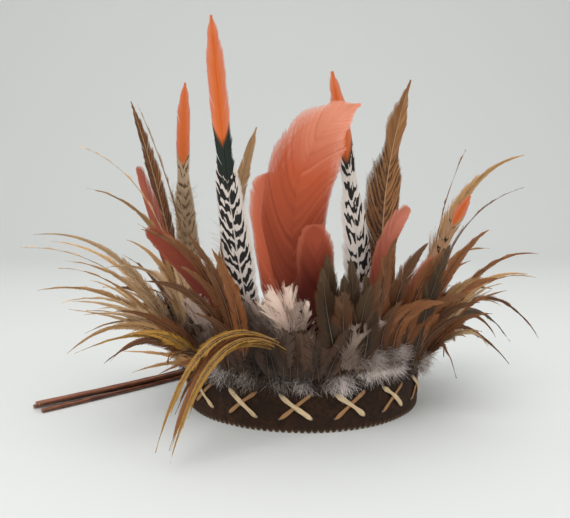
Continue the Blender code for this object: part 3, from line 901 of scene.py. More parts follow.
@dataclass(frozen=True)
class Down:
    """Loose strands of down: thin curved ribbons."""

    width: float = 0.00024
    pieces: int = 3
    curl: float = 0.35
    wave: float = 0.07
    taper: float = 0.75
    map_fill: float = 0.35

    def grow(self, plumage: Plumage, roots: Array, headings: Array, lengths: Array, tile: Tile) -> None:
        """Adds a strand at each root.

        Args:
            plumage: Where they go.
            roots: Where the strands start.
            headings: Which way they set off.
            lengths: How long they are.
            tile: Their tile of the bake's map.
        """
        rng, count = plumage.rng, len(roots)
        headings = unit(headings)
        bows = np.cross(headings, rng.normal(size=(count, 3)))
        flats = unit(np.cross(headings, rng.normal(size=(count, 3))))
        run = np.linspace(0.0, 1.0, self.pieces + 1)[None, :, None]
        reach = lengths[:, None, None]
        phase = rng.uniform(0.0, 2.0 * math.pi, (count, 1, 1))
        sway = np.sin(phase + 5.0 * run) - np.sin(phase)
        line = (roots[:, None] + headings[:, None] * reach * run
                + bows[:, None] * reach * (self.curl * run ** 2 + self.wave * sway))
        half = 0.5 * self.width * (1.0 - self.taper * run)
        grid = np.stack((line - flats[:, None] * half, line + flats[:, None] * half), axis=2)
        order = (np.arange(count) + 0.5)[:, None, None] / count
        edge = np.array((-self.map_fill, self.map_fill))[None, None, :] / count
        spread = packed(order + edge, tile.height(run))
        chance = rng.uniform(size=(count, 1, 1))
        share = packed(chance * 0.1, run, 0.0)
        strand = packed(chance, rng.normal(size=(count, 1, 1)), LOOSE)
        plumage.add(grid, spread, tile, np.array((0.0, 0.0, tile.bird)), share, strand)


@dataclass(frozen=True)
class Weave:
    """How the barbs and the shaft of a vane are set."""

    spacing: float = 0.00034
    angle: float = 42.0
    tip_angle: float = 24.0
    pieces: int = 5
    first: float = 0.06
    rag: float = 0.04
    splits: int = 3
    split_width: float = 0.0024
    camber: float = 0.10
    lift: float = 0.0004
    shaft: float = 0.0008
    shaft_lift: float = -0.00015


# The weaves of the tail feathers, the hackles, the body feathers and the open feathers of the down
STIFF_WEAVE = Weave()
SOFT_WEAVE = Weave(angle=32.0, tip_angle=17.0, rag=0.02, splits=0, split_width=0.0012, camber=0.04,
                   lift=0.0002, shaft=0.0005, shaft_lift=0.0006)
NARROW_WEAVE = Weave(spacing=0.00050, angle=34.0, tip_angle=16.0, pieces=3, first=0.05, rag=0.20, splits=4,
                     split_width=0.0032, camber=0.15, shaft=0.0003)
BROAD_WEAVE = replace(NARROW_WEAVE, rag=0.11, splits=2)
BODY_WEAVE = Weave(spacing=0.00062, angle=40.0, tip_angle=26.0, pieces=4, first=0.04, rag=0.12,
                   split_width=0.0026, camber=0.12, lift=0.0008, shaft=0.0003)
OPEN_WEAVE = Weave(spacing=0.00050, angle=38.0, tip_angle=24.0, pieces=4, first=0.12, rag=0.36,
                   split_width=0.0040, camber=0.20, lift=0.0016, shaft=0.0002)


@dataclass(frozen=True)
class Vane:
    """A feather on its blade: barbs on both sides of a tapered shaft."""

    blade: Blade
    outline: Outline
    half_width: float
    weave: Weave
    along_power: float = 1.35
    across_power: float = 0.92
    fewest_barbs: int = 8
    barbs_per_clump: int = 9
    rounds: int = 8
    split_reach: float = 0.010
    barb_map: tuple[float, float] = (0.40, 0.38)
    shaft_map: tuple[float, float] = (0.82, 0.90)
    down_map: tuple[float, float] = (0.91, 0.99)
    shaft_rows: int = 22
    shaft_until: float = 0.96
    shaft_taper: float = 0.82

    def ends(self, roots: Array) -> tuple[Array, Array]:
        """Works out where barbs end, so that they fill the outline.

        Args:
            roots: Where they leave the shaft, as shares of its length.

        Returns:
            Their ends along the shaft, as shares, and across it, in metres.
        """
        length = self.blade.length
        slope = 1.0 / np.tan(np.radians(self.weave.angle + (self.weave.tip_angle - self.weave.angle) * roots))
        wide = self.outline.half(roots) * self.half_width
        for _ in range(self.rounds):
            landing = np.minimum(roots + wide * slope / length, 1.0)
            wide = 0.5 * (wide + self.outline.half(landing) * self.half_width)
        ends = roots + wide * slope / length
        past = ends > 1.0
        if past.any():
            blunt = float(self.outline.half(1.0)) * self.half_width
            turn = 0.5 * math.pi * (roots[past] - roots[past][0]) / (1.0 - roots[past][0])
            wide[past] = blunt * np.cos(turn)
            ends[past] = 1.0 + 0.6 * blunt / length * np.sin(turn)
        return ends, wide

    def comb(self, plumage: Plumage, tile: Tile) -> None:
        """Adds the barbs.

        Args:
            plumage: Where they go.
            tile: Their tile of the bake's map.
        """
        rng, weave, length = plumage.rng, self.weave, self.blade.length
        middle, breadth = self.barb_map
        count = max(int((1.0 - weave.first) * length / weave.spacing), self.fewest_barbs)
        roots = weave.first + (1.0 - weave.first) * (np.arange(count) + 0.5) / count
        ends, wide = self.ends(roots)
        run = np.linspace(0.0, 1.0, weave.pieces + 1)[None, :]
        cover = 1.30 - 0.20 * run - 0.45 * (run > 0.99)
        slant = (ends - roots)[:, None]
        half_along = 0.5 * np.gradient(roots[:, None] + slant * run ** self.along_power, axis=0) * cover
        half_across = 0.5 * np.gradient(wide[:, None] * run ** self.across_power, axis=0) * cover
        for side in (-1.0, 1.0):
            chance = rng.uniform(size=count)
            clump = drift(roots, max(count // self.barbs_per_clump, 4), rng)
            rag = weave.rag * (0.2 + 0.8 * np.minimum(self.outline.half(roots), 1.0))
            reach = run * np.clip(1.0 + rag * (0.7 * clump + 0.8 * rng.normal(size=count)), 0.4, 1.4)[:, None]
            opened = np.zeros(count)
            for _ in range(weave.splits):
                gap = (roots - rng.uniform(0.15, 0.95)) * length
                opened += rng.uniform(0.3, 1.0) * np.sign(gap) * np.exp(-np.abs(gap) / self.split_reach)
            opened *= self.outline.half(roots)
            shift = (0.5 * weave.split_width / length * opened)[:, None] * run ** 2
            lean = roots[:, None] + slant * reach ** self.along_power + shift
            across = wide[:, None] * reach ** self.across_power
            crest = (weave.camber * wide + weave.lift * clump)[:, None]
            rise = (crest + 0.5 * weave.lift * opened[:, None]) * reach ** 2
            tilt = 0.5 * np.gradient(crest * run ** 2, axis=0) * cover + 0.000010
            grid = self.blade.spots(*(np.stack(pair, axis=-1) for pair in (
                (lean - half_along, lean + half_along),
                (side * (across - half_across), side * (across + half_across)),
                (rise - tilt, rise + tilt))))
            mapped = weave.first + (np.arange(count) + 0.5)[:, None, None] / count * (1.0 - weave.first)
            edge = np.array((-0.5, 0.5))[None, None, :] / count
            spread = packed(mapped + edge, tile.height(middle + breadth * side * run[..., None]))
            level = roots[:, None, None]
            place = packed(level * length / CENTIMETRE, side * across[..., None] / CENTIMETRE, tile.bird)
            share = packed(level, run[..., None], side)
            plumage.add(grid, spread, tile, place, share, packed(chance, clump, BARB)[:, None, None, :])

    def stem(self, plumage: Plumage, tile: Tile, foot: Array | None = None) -> None:
        """Adds the shaft.

        Args:
            plumage: Where it goes.
            tile: The feather's tile.
            foot: Where it starts, if that is below the vane.
        """
        along = np.linspace(0.0, self.shaft_until, self.shaft_rows)
        rows = self.blade.rows(along)
        centres = rows[:, 0:3] + rows[:, 6:9] * self.weave.shaft_lift
        sides, normals = rows[:, 3:6], rows[:, 6:9]
        radii = self.weave.shaft * (1.0 - self.shaft_taper * along)
        if foot is not None:
            centres = np.vstack((foot, centres))
            sides, normals = (np.vstack((way[:1], way)) for way in (sides, normals))
            radii = np.hstack((radii[:1], radii))
            along = np.hstack((0.0, along))
        place = packed(along[:, None] * self.blade.length / CENTIMETRE, 0.0, tile.bird)
        share = packed(along[:, None], 0.0, 0.0)
        Sweep(6).lay(plumage, centres, sides, normals, radii, radii, tile.part(*self.shaft_map), place, share,
                     np.array((0.5, 0.0, SHAFT)))

    def fluff(self, plumage: Plumage, tile: Tile, count: int, reach: float, until: float) -> None:
        """Adds loose down at the foot of the vane.

        Args:
            plumage: Where it goes.
            tile: The feather's tile.
            count: How many strands.
            reach: The length of the longest.
            until: The share of the blade that they end at.
        """
        rng = plumage.rng
        along = rng.uniform(0.0, until, count)
        rows = self.blade.rows(along)
        side = rng.choice((-1.0, 1.0), count)[:, None]
        headings = (rows[:, 3:6] * side + rows[:, 9:12] * rng.uniform(0.2, 1.6, (count, 1))
                    + rows[:, 6:9] * rng.normal(scale=0.35, size=(count, 1)))
        lengths = reach * rng.uniform(0.35, 1.0, count)
        Down().grow(plumage, rows[:, 0:3], headings, lengths, tile.part(*self.down_map))


class FeatherKind(Enum):
    """The kinds of tail feather: outline, widest width, record slot and weave."""

    BARRED = (Outline.BARRED, 0.0220, "barred_feather", STIFF_WEAVE)
    CORAL = (Outline.CORAL, 0.0460, "coral_feather", SOFT_WEAVE)
    CURLED = (Outline.CURLED, 0.0460, "coral_feather", SOFT_WEAVE)
    PHEASANT = (Outline.PHEASANT, 0.0250, "brown_feather", STIFF_WEAVE)
    FOLDED = (Outline.FOLDED, 0.0250, "brown_feather", STIFF_WEAVE)


class Plume(NamedTuple):
    """One tail feather. bend and tip are (out, side, rise) from its root, in plume lengths."""

    name: str
    kind: FeatherKind
    place: float
    layer: int
    width: float
    bend: Shares
    tip: Shares
    twist: float
    twist_at: float
    finish: CoralFinish | BarredFinish | PheasantFinish
    down: int = 200
    down_until: float = 0.20


# The tail feathers: name, kind, place, layer, width, bend, tip, twist, where it twists and finish
# A coral finish's rim is a painted highlight.
# A pheasant finish's pale is the colour of its painted glints.
PLUMES = (
    Plume("barred_1", FeatherKind.BARRED, -20, 1, 1.00, (0.05, -0.085, 0.40), (0.10, -0.115, 1.10), 0, 0.2,
          BarredFinish(plain_side=1.0)),
    Plume("barred_2", FeatherKind.BARRED, 23, 1, 0.95, (0.02, 0.015, 0.35), (0.04, -0.125, 0.925), 0, 0.2,
          BarredFinish(blackness=0.46, bars_per_cm=1.0, collar_from=0.75, tip_from=0.755, plain_side=-1.0)),
    Plume("barred_3", FeatherKind.BARRED, -118, 1, 0.85, (0.10, 0.07, 0.35), (0.08, 0.02, 1.00), -55, 0.2,
          BarredFinish(white=(0.46, 0.34, 0.22), black=(0.130, 0.075, 0.042), blackness=0.30, collar_from=0.9,
                       tip_from=0.725, down=(0.420, 0.300, 0.180)), 1000, 0.62),
    Plume("barred_4", FeatherKind.BARRED, 62, 1, 0.80, (0.02, 0.00, 0.26), (0.18, 0.04, 0.54), -45, 0.2,
          BarredFinish(white=(0.40, 0.21, 0.10), blackness=0.15, collar_from=0.95, tip_from=0.82)),
    Plume("coral_1", FeatherKind.CURLED, 0, 2, 1.00, (0.06, -0.137, 0.71), (0.10, 0.16, 0.82), 0, 0.2,
          CoralFinish(), 0),
    Plume("coral_2", FeatherKind.CORAL, -9, 1, 0.70, (0.02, 0.01, 0.33), (0.03, -0.05, 0.59), 0, 0.2,
          CoralFinish(middle=(0.520, 0.105, 0.045), top=(0.560, 0.140, 0.075),
                      rim=(0.640, 0.220, 0.130)), 900),
    # coral_3's very dark foot and middle are partly its dye and partly painted shade
    Plume("coral_3", FeatherKind.CORAL, 4, 3, 0.52, (0.05, 0.00, 0.25), (0.11, -0.02, 0.44), 0, 0.2,
          CoralFinish(foot=(0.040, 0.005, 0.002), middle=(0.085, 0.008, 0.003), top=(0.320, 0.056, 0.024),
                      rim=(0.560, 0.160, 0.085)), 0),
    Plume("coral_4", FeatherKind.CORAL, -82, 1, 0.40, (0.04, 0.01, 0.25), (0.16, 0.02, 0.63), 35, 0.12,
          CoralFinish(top=(0.37, 0.090, 0.050), middle=(0.22, 0.042, 0.020), rim=(0.50, 0.150, 0.090))),
    Plume("coral_5", FeatherKind.CORAL, -33, 2, 0.50, (0.05, 0.01, 0.24), (0.17, -0.19, 0.42), 0, 0.2,
          CoralFinish(top=(0.26, 0.045, 0.020), middle=(0.14, 0.019, 0.008), rim=(0.40, 0.090, 0.045))),
    Plume("coral_6", FeatherKind.CORAL, 33, 2, 0.36, (0.02, -0.08, 0.34), (0.10, 0.02, 0.50), 0, 0.2,
          CoralFinish(top=(0.60, 0.190, 0.120), middle=(0.32, 0.066, 0.033), rim=(0.66, 0.260, 0.180))),
    Plume("coral_7", FeatherKind.CORAL, 52, 2, 0.42, (0.02, -0.08, 0.19), (0.10, -0.01, 0.32), -25, 0.2,
          CoralFinish(top=(0.50, 0.150, 0.075), middle=(0.26, 0.060, 0.028), rim=(0.62, 0.230, 0.140))),
    Plume("pheasant_1", FeatherKind.PHEASANT, -92, 1, 0.66, (0.07, 0.01, 0.50), (0.21, -0.01, 0.90), 50, 0.2,
          PheasantFinish(gold=(0.20, 0.085, 0.032), plain_from=0.9)),
    Plume("pheasant_2", FeatherKind.FOLDED, 42, 1, 1.45, (-0.03, -0.12, 0.46), (0.05, 0.01, 0.92), 0, 0.2,
          PheasantFinish(gold=(0.300, 0.130, 0.045), pale=(0.440, 0.240, 0.100), lines_per_cm=1.7)),
    Plume("pheasant_3", FeatherKind.PHEASANT, -48, 1, 0.45, (-0.04, 0.07, 0.48), (-0.10, 0.15, 0.77), 30, 0.2,
          PheasantFinish(gold=(0.48, 0.30, 0.15), brown=(0.26, 0.14, 0.07), plain_from=0.4), 500, 0.60),
    Plume("pheasant_4", FeatherKind.PHEASANT, -106, 1, 0.36, (0.02, 0.00, 0.44), (0.23, 0.03, 0.91), 30, 0.2,
          PheasantFinish(gold=(0.44, 0.28, 0.15), brown=(0.24, 0.13, 0.07), plain_from=0.3), 700, 0.60),
)


@dataclass
class TailFeathers:
    """The large feathers that stand on quills round the band."""

    ring: Ring
    foot_height: float = PAD_BOTTOM + PAD_HEIGHT + CLEARANCE
    down_reach: float = 0.010
    down_per_width: float = 0.20
    soft_down_until: float = 0.34
    seed: int = 100

    def blade(self, plume: Plume) -> tuple[Blade, Array]:
        """Bends a feather's blade.

        Args:
            plume: The feather.

        Returns:
            Its blade and the foot of its quill.
        """
        radius = quill_radius(plume.layer)
        root = self.ring.point(plume.place, radius, BAND_HEIGHT)
        bend, tip = (self.ring.offset(plume.place, shares) for shares in (plume.bend, plume.tip))
        blade = Blade(root, bend, tip, self.ring.axes(plume.place)[1], plume.twist, plume.twist_at)
        return blade, self.ring.point(plume.place, radius, self.foot_height)

    def build(self) -> None:
        """Builds every tail feather as its own piece."""
        for number, plume in enumerate(PLUMES):
            outline, width, slot, weave = plume.kind.value
            blade, foot = self.blade(plume)
            vane = Vane(blade, outline, 0.5 * width * plume.width, weave)
            plumage = Plumage(self.seed + number)
            tile = Tile(bird=float(number))
            vane.comb(plumage, tile)
            vane.stem(plumage, tile, foot)
            if plume.down:
                until = self.soft_down_until if weave is SOFT_WEAVE else plume.down_until
                reach = self.down_reach + self.down_per_width * width
                vane.fluff(plumage, tile, plume.down, reach, until)
            finish = plume.finish.dress(f"{plume.name}_finish")
            plumage.make(f"plume_{plume.name}", finish, (plume.name,))


class Dye(Enum):
    """Colours of the hackles: the stripe along the shaft and the edges."""

    GOLD = ((0.026, 0.009, 0.003), (0.400, 0.205, 0.036))
    BRONZE = ((0.080, 0.031, 0.012), (0.390, 0.215, 0.088))
    COPPER = ((0.058, 0.017, 0.006), (0.190, 0.064, 0.018))
    UMBER = ((0.024, 0.008, 0.003), (0.096, 0.034, 0.011))
    TAN = ((0.200, 0.092, 0.040), (0.560, 0.375, 0.210))
    MOSS = ((0.009, 0.005, 0.003), (0.048, 0.023, 0.009))
    SMOKE = ((0.026, 0.017, 0.012), (0.080, 0.050, 0.034))


class Spray(NamedTuple):
    """A spray of hackles on one backing. Each lock is (bend, tip), as in Plume; fine numbers thin ones."""

    name: str
    place: float
    layer: int
    per_lock: int
    half_width: float
    dyes: tuple[Dye, ...]
    locks: tuple[tuple[Shares, Shares], ...]
    outline: Outline = Outline.HACKLE
    loose: float = 1.0
    fine: tuple[int, ...] = ()


# The sprays: name, place, layer, hackles to a lock, half-width, dyes, locks and what is special
SPRAYS = (
    Spray("hackle_left_high", -66, 3, 2, 0.0068, (Dye.TAN, Dye.BRONZE), (
        ((0.03, 0.00, 0.60), (0.33, -0.18, 0.73)),
        ((0.03, 0.03, 0.50), (0.33, -0.10, 0.57)),
        ((0.03, 0.08, 0.34), (0.18, 0.02, 0.45)))),
    Spray("hackle_left_fan", -60, 4, 4, 0.0046, (Dye.TAN, Dye.TAN, Dye.BRONZE, Dye.TAN), (
        ((0.17, -0.07, 0.50), (0.46, -0.29, 0.45)),
        ((0.22, -0.05, 0.41), (0.52, -0.23, 0.40)),
        ((0.20, -0.01, 0.35), (0.42, -0.12, 0.33)),
        ((0.21, 0.04, 0.30), (0.44, -0.06, 0.23)))),
    Spray("hackle_left_low", -44, 4, 4, 0.0052, (Dye.BRONZE, Dye.COPPER, Dye.GOLD, Dye.UMBER), (
        ((0.21, -0.08, 0.27), (0.38, -0.25, 0.05)),
        ((0.14, -0.05, 0.20), (0.24, -0.15, 0.19)),
        ((0.15, 0.01, 0.15), (0.22, -0.05, 0.14)),
        ((0.15, 0.04, 0.12), (0.20, -0.01, 0.05)))),
    Spray("hackle_gold", 2, 4, 4, 0.0029, (Dye.GOLD, Dye.GOLD, Dye.COPPER, Dye.GOLD), (
        ((0.12, -0.29, 0.35), (0.20, -0.42, -0.08)),
        ((0.15, -0.34, 0.40), (0.25, -0.49, -0.16))), Outline.SICKLE, 0.40),
    Spray("hackle_front_left", -27, 4, 2, 0.0048, (Dye.COPPER, Dye.UMBER), (
        ((0.12, 0.03, 0.42), (0.18, -0.22, 0.48)),
        ((0.11, 0.04, 0.31), (0.16, -0.10, 0.48)),
        ((0.10, 0.06, 0.27), (0.16, -0.02, 0.42))), Outline.LANCE),
    Spray("hackle_front_right", 17, 4, 3, 0.0084, (Dye.MOSS, Dye.MOSS, Dye.UMBER), (
        ((0.08, -0.07, 0.22), (0.13, -0.10, 0.40)),
        ((0.08, -0.05, 0.21), (0.14, -0.08, 0.36)),
        ((0.08, 0.00, 0.19), (0.14, -0.01, 0.34))), Outline.LANCE),
    Spray("hackle_inner_right", 36, 4, 3, 0.0072, (Dye.COPPER, Dye.UMBER, Dye.COPPER), (
        ((0.09, -0.15, 0.29), (0.15, -0.09, 0.46)),
        ((0.09, -0.10, 0.31), (0.15, 0.00, 0.47)),
        ((0.09, -0.05, 0.30), (0.15, 0.07, 0.41))), Outline.LANCE),
    Spray("hackle_right_high", 76, 3, 3, 0.0090, (Dye.COPPER, Dye.BRONZE), (
        ((0.02, 0.00, 0.46), (0.14, 0.04, 0.71)),
        ((0.05, 0.02, 0.62), (0.36, 0.10, 0.68))), fine=(0,)),
    Spray("hackle_right_mid", 52, 4, 4, 0.0060, (Dye.MOSS, Dye.COPPER, Dye.BRONZE, Dye.UMBER, Dye.COPPER), (
        ((0.11, -0.12, 0.28), (0.16, -0.08, 0.44)),
        ((0.12, -0.05, 0.38), (0.24, 0.05, 0.47))), Outline.LANCE),
    Spray("hackle_right_fan", 70, 4, 3, 0.0048, (Dye.COPPER, Dye.TAN, Dye.BRONZE), (
        ((0.12, -0.16, 0.22), (0.24, -0.14, 0.20)),
        ((0.12, -0.12, 0.26), (0.26, -0.08, 0.27)),
        ((0.14, -0.08, 0.34), (0.34, 0.04, 0.30)),
        ((0.16, -0.04, 0.42), (0.38, 0.13, 0.35)))),
    Spray("hackle_right_low", 88, 4, 4, 0.0060, (Dye.SMOKE, Dye.UMBER, Dye.COPPER), (
        ((0.08, -0.06, 0.10), (0.08, -0.12, 0.04)),
        ((0.12, -0.06, 0.12), (0.14, -0.06, 0.13)),
        ((0.22, -0.06, 0.36), (0.44, -0.02, 0.03)))),
    Spray("hackle_back_left", -108, 4, 3, 0.0084, (Dye.UMBER, Dye.COPPER), (
        ((0.10, -0.06, 0.22), (0.26, -0.14, 0.24)),
        ((0.12, 0.00, 0.28), (0.30, -0.02, 0.32)),
        ((0.12, 0.05, 0.22), (0.28, 0.10, 0.20)))),
    Spray("hackle_back_right", 110, 4, 3, 0.0084, (Dye.UMBER, Dye.COPPER), (
        ((0.12, -0.05, 0.22), (0.28, -0.10, 0.20)),
        ((0.12, 0.00, 0.28), (0.30, 0.02, 0.30)),
        ((0.10, 0.06, 0.22), (0.26, 0.14, 0.22)))),
)


@dataclass
class HackleSprays:
    """Sprays of narrow hackles that sweep out to both sides."""

    ring: Ring
    cell: float = 0.0062
    backing: float = 0.0016
    seat: float = 0.0078
    stray: float = 0.020
    sweep: float = 0.07
    front_places: float = 25.0
    front_shortest: float = 0.80
    root_stray: float = 0.0012
    hair_width: float = 0.004
    hair_share: float = 0.35
    samples: int = 60
    down_strands: int = 40
    down_reach: float = 0.008
    down_until: float = 0.15
    seed: int = 200

    def root(self, spray: Spray, lock: int) -> Array:
        """Finds where a lock leaves its backing.

        Args:
            spray: The spray.
            lock: The lock's number.

        Returns:
            The point, on the trim for the outer sprays and on the band for the others.
        """
        if spray.layer > 3:
            inner = RING_RADIUS + 2.0 * CLEARANCE + PAD_DEPTH
            bottom = PAD_BOTTOM
        else:
            inner = quill_radius(spray.layer) - self.backing / 2.0
            bottom = PAD_BOTTOM + PAD_HEIGHT + CLEARANCE
        step = math.degrees(self.cell / inner)
        place = spray.place + (lock + 0.5 - len(spray.locks) / 2.0) * step
        return self.ring.point(place, inner + self.backing / 2.0, bottom + self.seat)

    def build(self) -> None:
        """Builds every spray as its own piece."""
        plain = HackleFinish().dress("hackle_finish")
        striped = HackleFinish(stripe_reach=0.52).dress("sickle_finish")
        for number, spray in enumerate(SPRAYS):
            finish = striped if spray.outline is Outline.SICKLE else plain
            plumage = Plumage(self.seed + number)
            total = len(spray.locks) * spray.per_lock
            for index in range(total):
                lock, turn = divmod(index, spray.per_lock)
                self.hackle(plumage, spray, lock, turn, index / total, (index + 1) / total)
            plumage.make(f"spray_{spray.name}", finish, (spray.name,))

    def hackle(self, plumage: Plumage, spray: Spray, lock: int, turn: int, low: float, high: float) -> None:
        """Adds one hackle.

        Args:
            plumage: Where it goes.
            spray: Its spray.
            lock: The lock that it follows.
            turn: Its number in the lock, where the first follows the lock closest.
            low: The low side of its tile.
            high: The high side of its tile.
        """
        rng = plumage.rng
        leads = turn == 0
        in_front = abs(spray.place) < self.front_places
        loose = self.stray * spray.loose * PLUME_LENGTH * (0.25 if leads else 0.8 + 0.3 * turn)
        shortest = self.front_shortest if in_front else 1.0 - 0.5 * spray.loose
        size = 1.0 if leads else rng.uniform(shortest, max(0.85, shortest + 0.2))
        bend, tip = spray.locks[lock]
        away = 0.0 if leads or in_front else math.copysign(self.sweep, spray.place)
        start = self.root(spray, lock) + rng.normal(scale=self.root_stray, size=3)
        bend = self.ring.offset(spray.place, bend) * size + rng.normal(scale=loose, size=3)
        tip = self.ring.offset(spray.place, tip) * size + rng.normal(scale=1.6 * loose, size=3)
        tip = tip + self.ring.offset(spray.place, (0.3 * abs(away), away, -0.4 * abs(away)))
        outward = self.ring.axes(spray.place)[0]
        front = np.array((0.0, -1.0 if outward[1] < 0.3 else 1.0, 0.0))
        broad = spray.outline is Outline.LANCE
        facing = -unit(outward * 0.45 + front * 0.55 + rng.normal(scale=0.10 if broad else 0.25, size=3))
        twist = 12.0 if broad else 25.0
        side = unit(np.cross(facing, tip))
        blade = Blade(start, bend, tip, side, rng.uniform(-twist, twist), 0.4, self.samples)
        stripe, edge = spray.dyes[(lock + turn) % len(spray.dyes)].value
        tone = rng.uniform(0.70, 1.25)
        tile = Tile(low, high, float(rng.uniform(0.0, 50.0)), toned(stripe, tone), toned(edge, tone))
        fine = lock in spray.fine
        half = spray.half_width * rng.uniform(0.80, 1.10) * (0.6 + 0.4 * size)
        half *= self.hair_share if fine else 1.0
        weave = BROAD_WEAVE if broad else NARROW_WEAVE
        if fine or spray.half_width < self.hair_width:
            weave = replace(weave, splits=0)
        vane = Vane(blade, spray.outline, half, weave)
        vane.comb(plumage, tile)
        vane.stem(plumage, tile)
        vane.fluff(plumage, tile, self.down_strands, self.down_reach, self.down_until)


class Tuft(NamedTuple):
    """A clump of down on the trim. climb above 1 makes it stand up, and light is how pale it is."""

    place: float
    height: float
    climb: float
    reach: float
    light: float
    strands: int
    slant: float = 0.0
    forward: float = 0.0

    @property
    def rising(self) -> bool:
        """Whether it stands up, with open feathers in it."""
        return self.climb > 1.0

    def dye(self) -> Colour:
        """Returns its colour: grey where it is dark or rises, near white where it hangs pale."""
        bright = min(self.light / 0.6, 1.0) * (0.35 if self.rising else 1.0)
        return self.light, (0.70 + 0.19 * bright) * self.light, (0.54 + 0.29 * bright) * self.light


# Tufts that the photo shows at the front, pale but for a few
FRONT_TUFTS = (
    Tuft(-42.1, 0.0620, 1.5, 0.0300, 0.40, 260, -0.12),
    Tuft(-37.5, 0.0420, -0.7, 0.0120, 0.80, 420, -0.3), Tuft(-33.0, 0.0400, -0.9, 0.0080, 0.50, 200, 0.2),
    Tuft(-24.0, 0.0385, -0.9, 0.0080, 0.50, 220, -0.2), Tuft(-13.0, 0.0600, 1.4, 0.0270, 0.14, 300, -0.3),
    Tuft(-10.5, 0.0375, -0.8, 0.0075, 0.55, 240, 0.3), Tuft(-7.5, 0.0620, 1.8, 0.0350, 0.34, 340, -0.28),
    Tuft(-3.0, 0.0600, 2.0, 0.0430, 0.84, 760, -0.20), Tuft(-1.0, 0.0370, -1.0, 0.0090, 0.62, 300, -0.3),
    Tuft(9.5, 0.0365, -1.0, 0.0070, 0.45, 200, 0.3), Tuft(14.0, 0.0390, -1.0, 0.0120, 0.80, 460, 0.35),
    Tuft(15.0, 0.0560, 1.3, 0.0240, 0.28, 420, 0.22, 0.0105),
    Tuft(23.0, 0.0455, -0.8, 0.0090, 0.90, 420, 0.2),
    Tuft(20.5, 0.0520, -0.3, 0.0090, 0.30, 300, 0.5, 0.0085),
    Tuft(26.0, 0.0530, -0.3, 0.0100, 0.45, 380, 0.7, 0.0085),
    Tuft(31.0, 0.0530, -0.1, 0.0110, 0.20, 260, 0.8, 0.0085),
    Tuft(36.0, 0.0540, 0.0, 0.0110, 0.50, 380, 0.9, 0.0085),
    Tuft(27.0, 0.0475, -0.9, 0.0125, 1.00, 900, 0.4), Tuft(32.0, 0.0465, -0.8, 0.0115, 1.00, 800, -0.2),
    Tuft(38.0, 0.0460, -0.6, 0.0120, 0.95, 700, 0.5),
)

# Dark feathers that hide where the gold hackles grow
COVER_PLACES = (-13.0, -10.5, -8.0, -5.5, -3.0, -0.5, 2.0, 4.5, 7.0)
COVER_FORWARD = 0.0060
COVER_SIZE = 0.80


